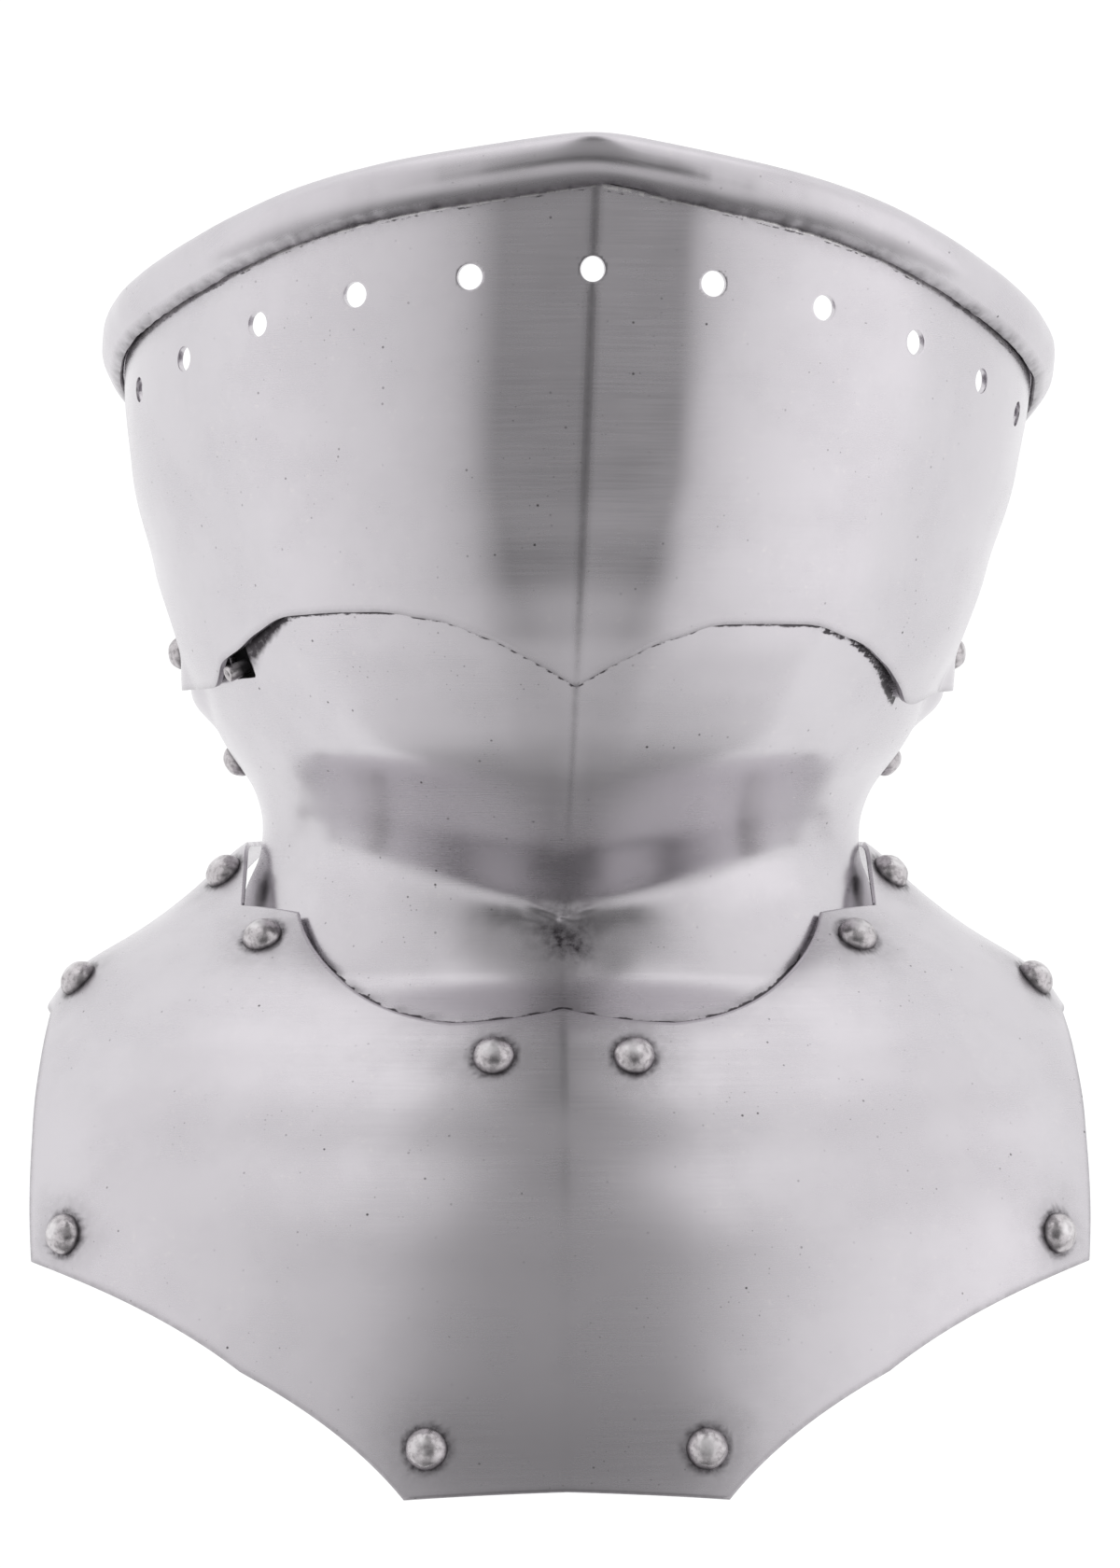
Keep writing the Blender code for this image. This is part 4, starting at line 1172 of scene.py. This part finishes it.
def build_rivets(trees):
    number = 0
    lapped = 2 * WALL + LAP_GAP
    for side, side_name in ((-1, "left"), (1, "right")):
        pivot = face_at(form_point, side * math.pi / 2, 0.0)
        build_rivet(f"pivot_rivet_{side_name}", pivot, trees["face"], lapped + SHEET_SLACK,
                    SIDE_RIVET_RADIUS, SIDE_RIVET_HEIGHT, 40.0 + side)
        jaw = face_at(chin_point, side * JAW_RIVET_ANGLE, -JAW_RIVET_DROP * NECK_DROP)
        build_rivet(f"jaw_rivet_{side_name}", jaw, trees["chin"], WALL + SHEET_SLACK,
                    SIDE_RIVET_RADIUS, SIDE_RIVET_HEIGHT, 50.0 + side)
        for row in BIB_RIVETS:
            number += 1
            grip = lapped if row.through_flange else WALL
            build_rivet(f"{row.name}_{side_name}", bib_rivet_place(side, row), trees["bib"],
                        grip + SHEET_SLACK, RIVET_RADIUS, RIVET_HEIGHT, 3.7 * number)


def build_catch():
    """The leaf spring inside the chin plate, and its stud in the window."""
    inset = WALL + LEAF_GAP
    columns, rows = 40, 12
    shares = np.linspace(0, 1, columns + 1)[None, :]
    angles = mix(STUD_ANGLE - LEAF_OVERHANG, LEAF_ANGLE, shares)
    middles = STUD_HEIGHT + LEAF_RISE - LEAF_DROP * shares
    heights = middles + LEAF_HALF_WIDTH * np.linspace(-1, 1, rows + 1)[:, None]
    grid_angles = np.broadcast_to(angles, heights.shape)
    points = chin_point(grid_angles, heights, inset)
    leaf = sheet(points, grid_angles * BRUSHING_RADIUS, heights, {})
    piece = add_piece(leaf, "catch_leaf", "gorget", ["catch_spring"], black_steel)
    thicken(piece, LEAF_THICKNESS)
    stud = face_at(chin_point, STUD_ANGLE, STUD_HEIGHT)
    radius = STUD_RADIUS
    root = -inset - LEAF_THICKNESS / 2
    profile = [(0.0, STUD_PROUD - 0.0005), (radius * 0.42, STUD_PROUD - 0.0004)]
    profile += [(radius * 0.56, STUD_PROUD - 0.0001), (radius * 0.72, STUD_PROUD)]
    profile += [(radius * 0.88, STUD_PROUD - 0.0001), (radius, STUD_PROUD - 0.0005)]
    profile += [(radius * 0.97, 0.0), (radius * 0.97, root), (0.0, root)]
    shape = turned(profile, stud, 36)
    layer = shape.verts.layers.float.new("tarnish")
    local = stud.inverted()
    for vertex in shape.verts:
        at = local @ vertex.co
        side = 1.0 if at.z < STUD_PROUD - 0.0008 else 0.0
        vertex[layer] = max(side * 0.8, 0.9 * math.exp(-(at.xy.length / 0.0007) ** 2))
    add_piece(shape, "catch_stud", "gorget", ["catch_spring"], head_steel, 50)


def surface_tree(piece):
    """The outer faces of a plate, for seating what stands on it."""
    corners = [vertex.co for vertex in piece.data.vertices]
    return BVHTree.FromPolygons(corners, [polygon.vertices for polygon in piece.data.polygons])


falling_plate = build_falling_plate()
chin_plate = build_chin_plate()
bib = build_bib()
build_rivets({
    "face": surface_tree(falling_plate),
    "chin": surface_tree(chin_plate),
    "bib": surface_tree(bib),
})
build_catch()


# Floor, light and camera


def build_floor():
    board = bmesh.new()
    bmesh.ops.create_grid(board, x_segments=8, y_segments=8, size=4.0)
    mesh = bpy.data.meshes.new("floor")
    board.to_mesh(mesh)
    board.free()
    floor = bpy.data.objects.new("floor", mesh)
    bpy.context.scene.collection.objects.link(floor)
    mesh.materials.append(white_board)


def build_light():
    """A white tent: bright at the sides, open and darker around the lens."""
    world = bpy.data.worlds.new("tent")
    bpy.context.scene.world = world
    world.use_nodes = True
    world.node_tree.nodes.clear()
    tree = world.node_tree
    for row in [
        ("direction", "TexCoord"),
        ("axes", "SeparateXYZ", {0: "direction.Generated"}),
        ("turn", "Math", {0: "axes.X", 1: "axes.Z"}, {}, {"operation": "ARCTAN2"}),
        ("rise", "Math", {0: "axes.Y"}, {}, {"operation": "ARCSINE"}),
        ("turn_share", "MapRange", {0: "turn.0"}, span(-math.pi, math.pi)),
        ("rise_share", "MapRange", {0: "rise.0"}, span(-math.pi, math.pi)),
        ("walls", "ValToRGB", {0: "turn_share.0"}),
        ("ends", "ValToRGB", {0: "rise_share.0"}),
        ("lens_rise", "ValToRGB", {0: "rise_share.0"}),
        ("tilt", "Math", {0: "rise.0"}, {}, {"operation": "ABSOLUTE"}),
        ("end_share", "MapRange", {0: "tilt.0"}, span(0.20, 0.75), SMOOTH),
        ("side", "Mix", {0: "end_share.0", 2: "walls.0", 3: "ends.0"}, {}, {"data_type": "FLOAT"}),
        ("narrowing", "MapRange", {0: "rise.0"}, span(0.15, 0.45, 1.0, 1.12), SMOOTH),
        ("dark_turn", "Math", {0: "turn.0", 1: "narrowing.0"}, {}, TIMES),
        ("left_dark", "MapRange", {0: "dark_turn.0"}, span(LEFT_LIGHT, LEFT_SHADE), SMOOTH),
        ("right_dark", "MapRange", {0: "dark_turn.0"},
         span(RIGHT_SHADE, RIGHT_LIGHT, 1.0, 0.0), SMOOTH),
        ("dark", "Math", {0: "left_dark.0", 1: "right_dark.0"}, {}, TIMES),
        ("level", "Mix", {0: "dark.0", 2: "side.0", 3: "lens_rise.0"}, {}, {"data_type": "FLOAT"}),
        ("strength", "Math", {0: "level.0"}, {1: BRIGHTEST}, TIMES),
        ("light", "Background", {"Strength": "strength.0"}, {"Color": from_hex("FFFEFF")}),
        ("output", "OutputWorld", {"Surface": "light.0"}),
    ]:
        add_node(tree, *row)
    for name, levels in (("walls", WALLS), ("ends", ENDS), ("lens_rise", LENS_RISE)):
        ramp = tree.nodes[name].color_ramp
        ramp.interpolation = "B_SPLINE" if name == "walls" else "EASE"
        for row in levels[1:-1]:
            ramp.elements.new(row.degrees / 360 + 0.5)
        for element, row in zip(ramp.elements, levels):
            element.position = row.degrees / 360 + 0.5
            element.color = (*[row.level / BRIGHTEST] * 3, 1.0)


def build_camera():
    """Straight above the front, as the photographer stood before it, and far off."""
    distance, yaw = 1.8, math.radians(1.3)
    back = Vector((-math.sin(yaw), 0, math.cos(yaw)))
    right = Vector((math.cos(yaw), 0, math.sin(yaw)))
    target = HINGE + right * 0.00094 + Vector((0, -0.033, 0))
    data = bpy.data.cameras.new("camera")
    data.lens = 164.1
    data.sensor_width = 36.0
    data.sensor_fit = "AUTO"
    data.clip_end = 20
    camera = bpy.data.objects.new("camera", data)
    bpy.context.scene.collection.objects.link(camera)
    camera.matrix_world = Matrix((
        (right.x, 0, back.x, target.x + back.x * distance),
        (right.y, 1, back.y, target.y + back.y * distance),
        (right.z, 0, back.z, target.z + back.z * distance),
        (0, 0, 0, 1),
    ))
    bpy.context.scene.camera = camera


build_floor()
build_light()
build_camera()
bpy.context.scene.view_settings.view_transform = "Standard"
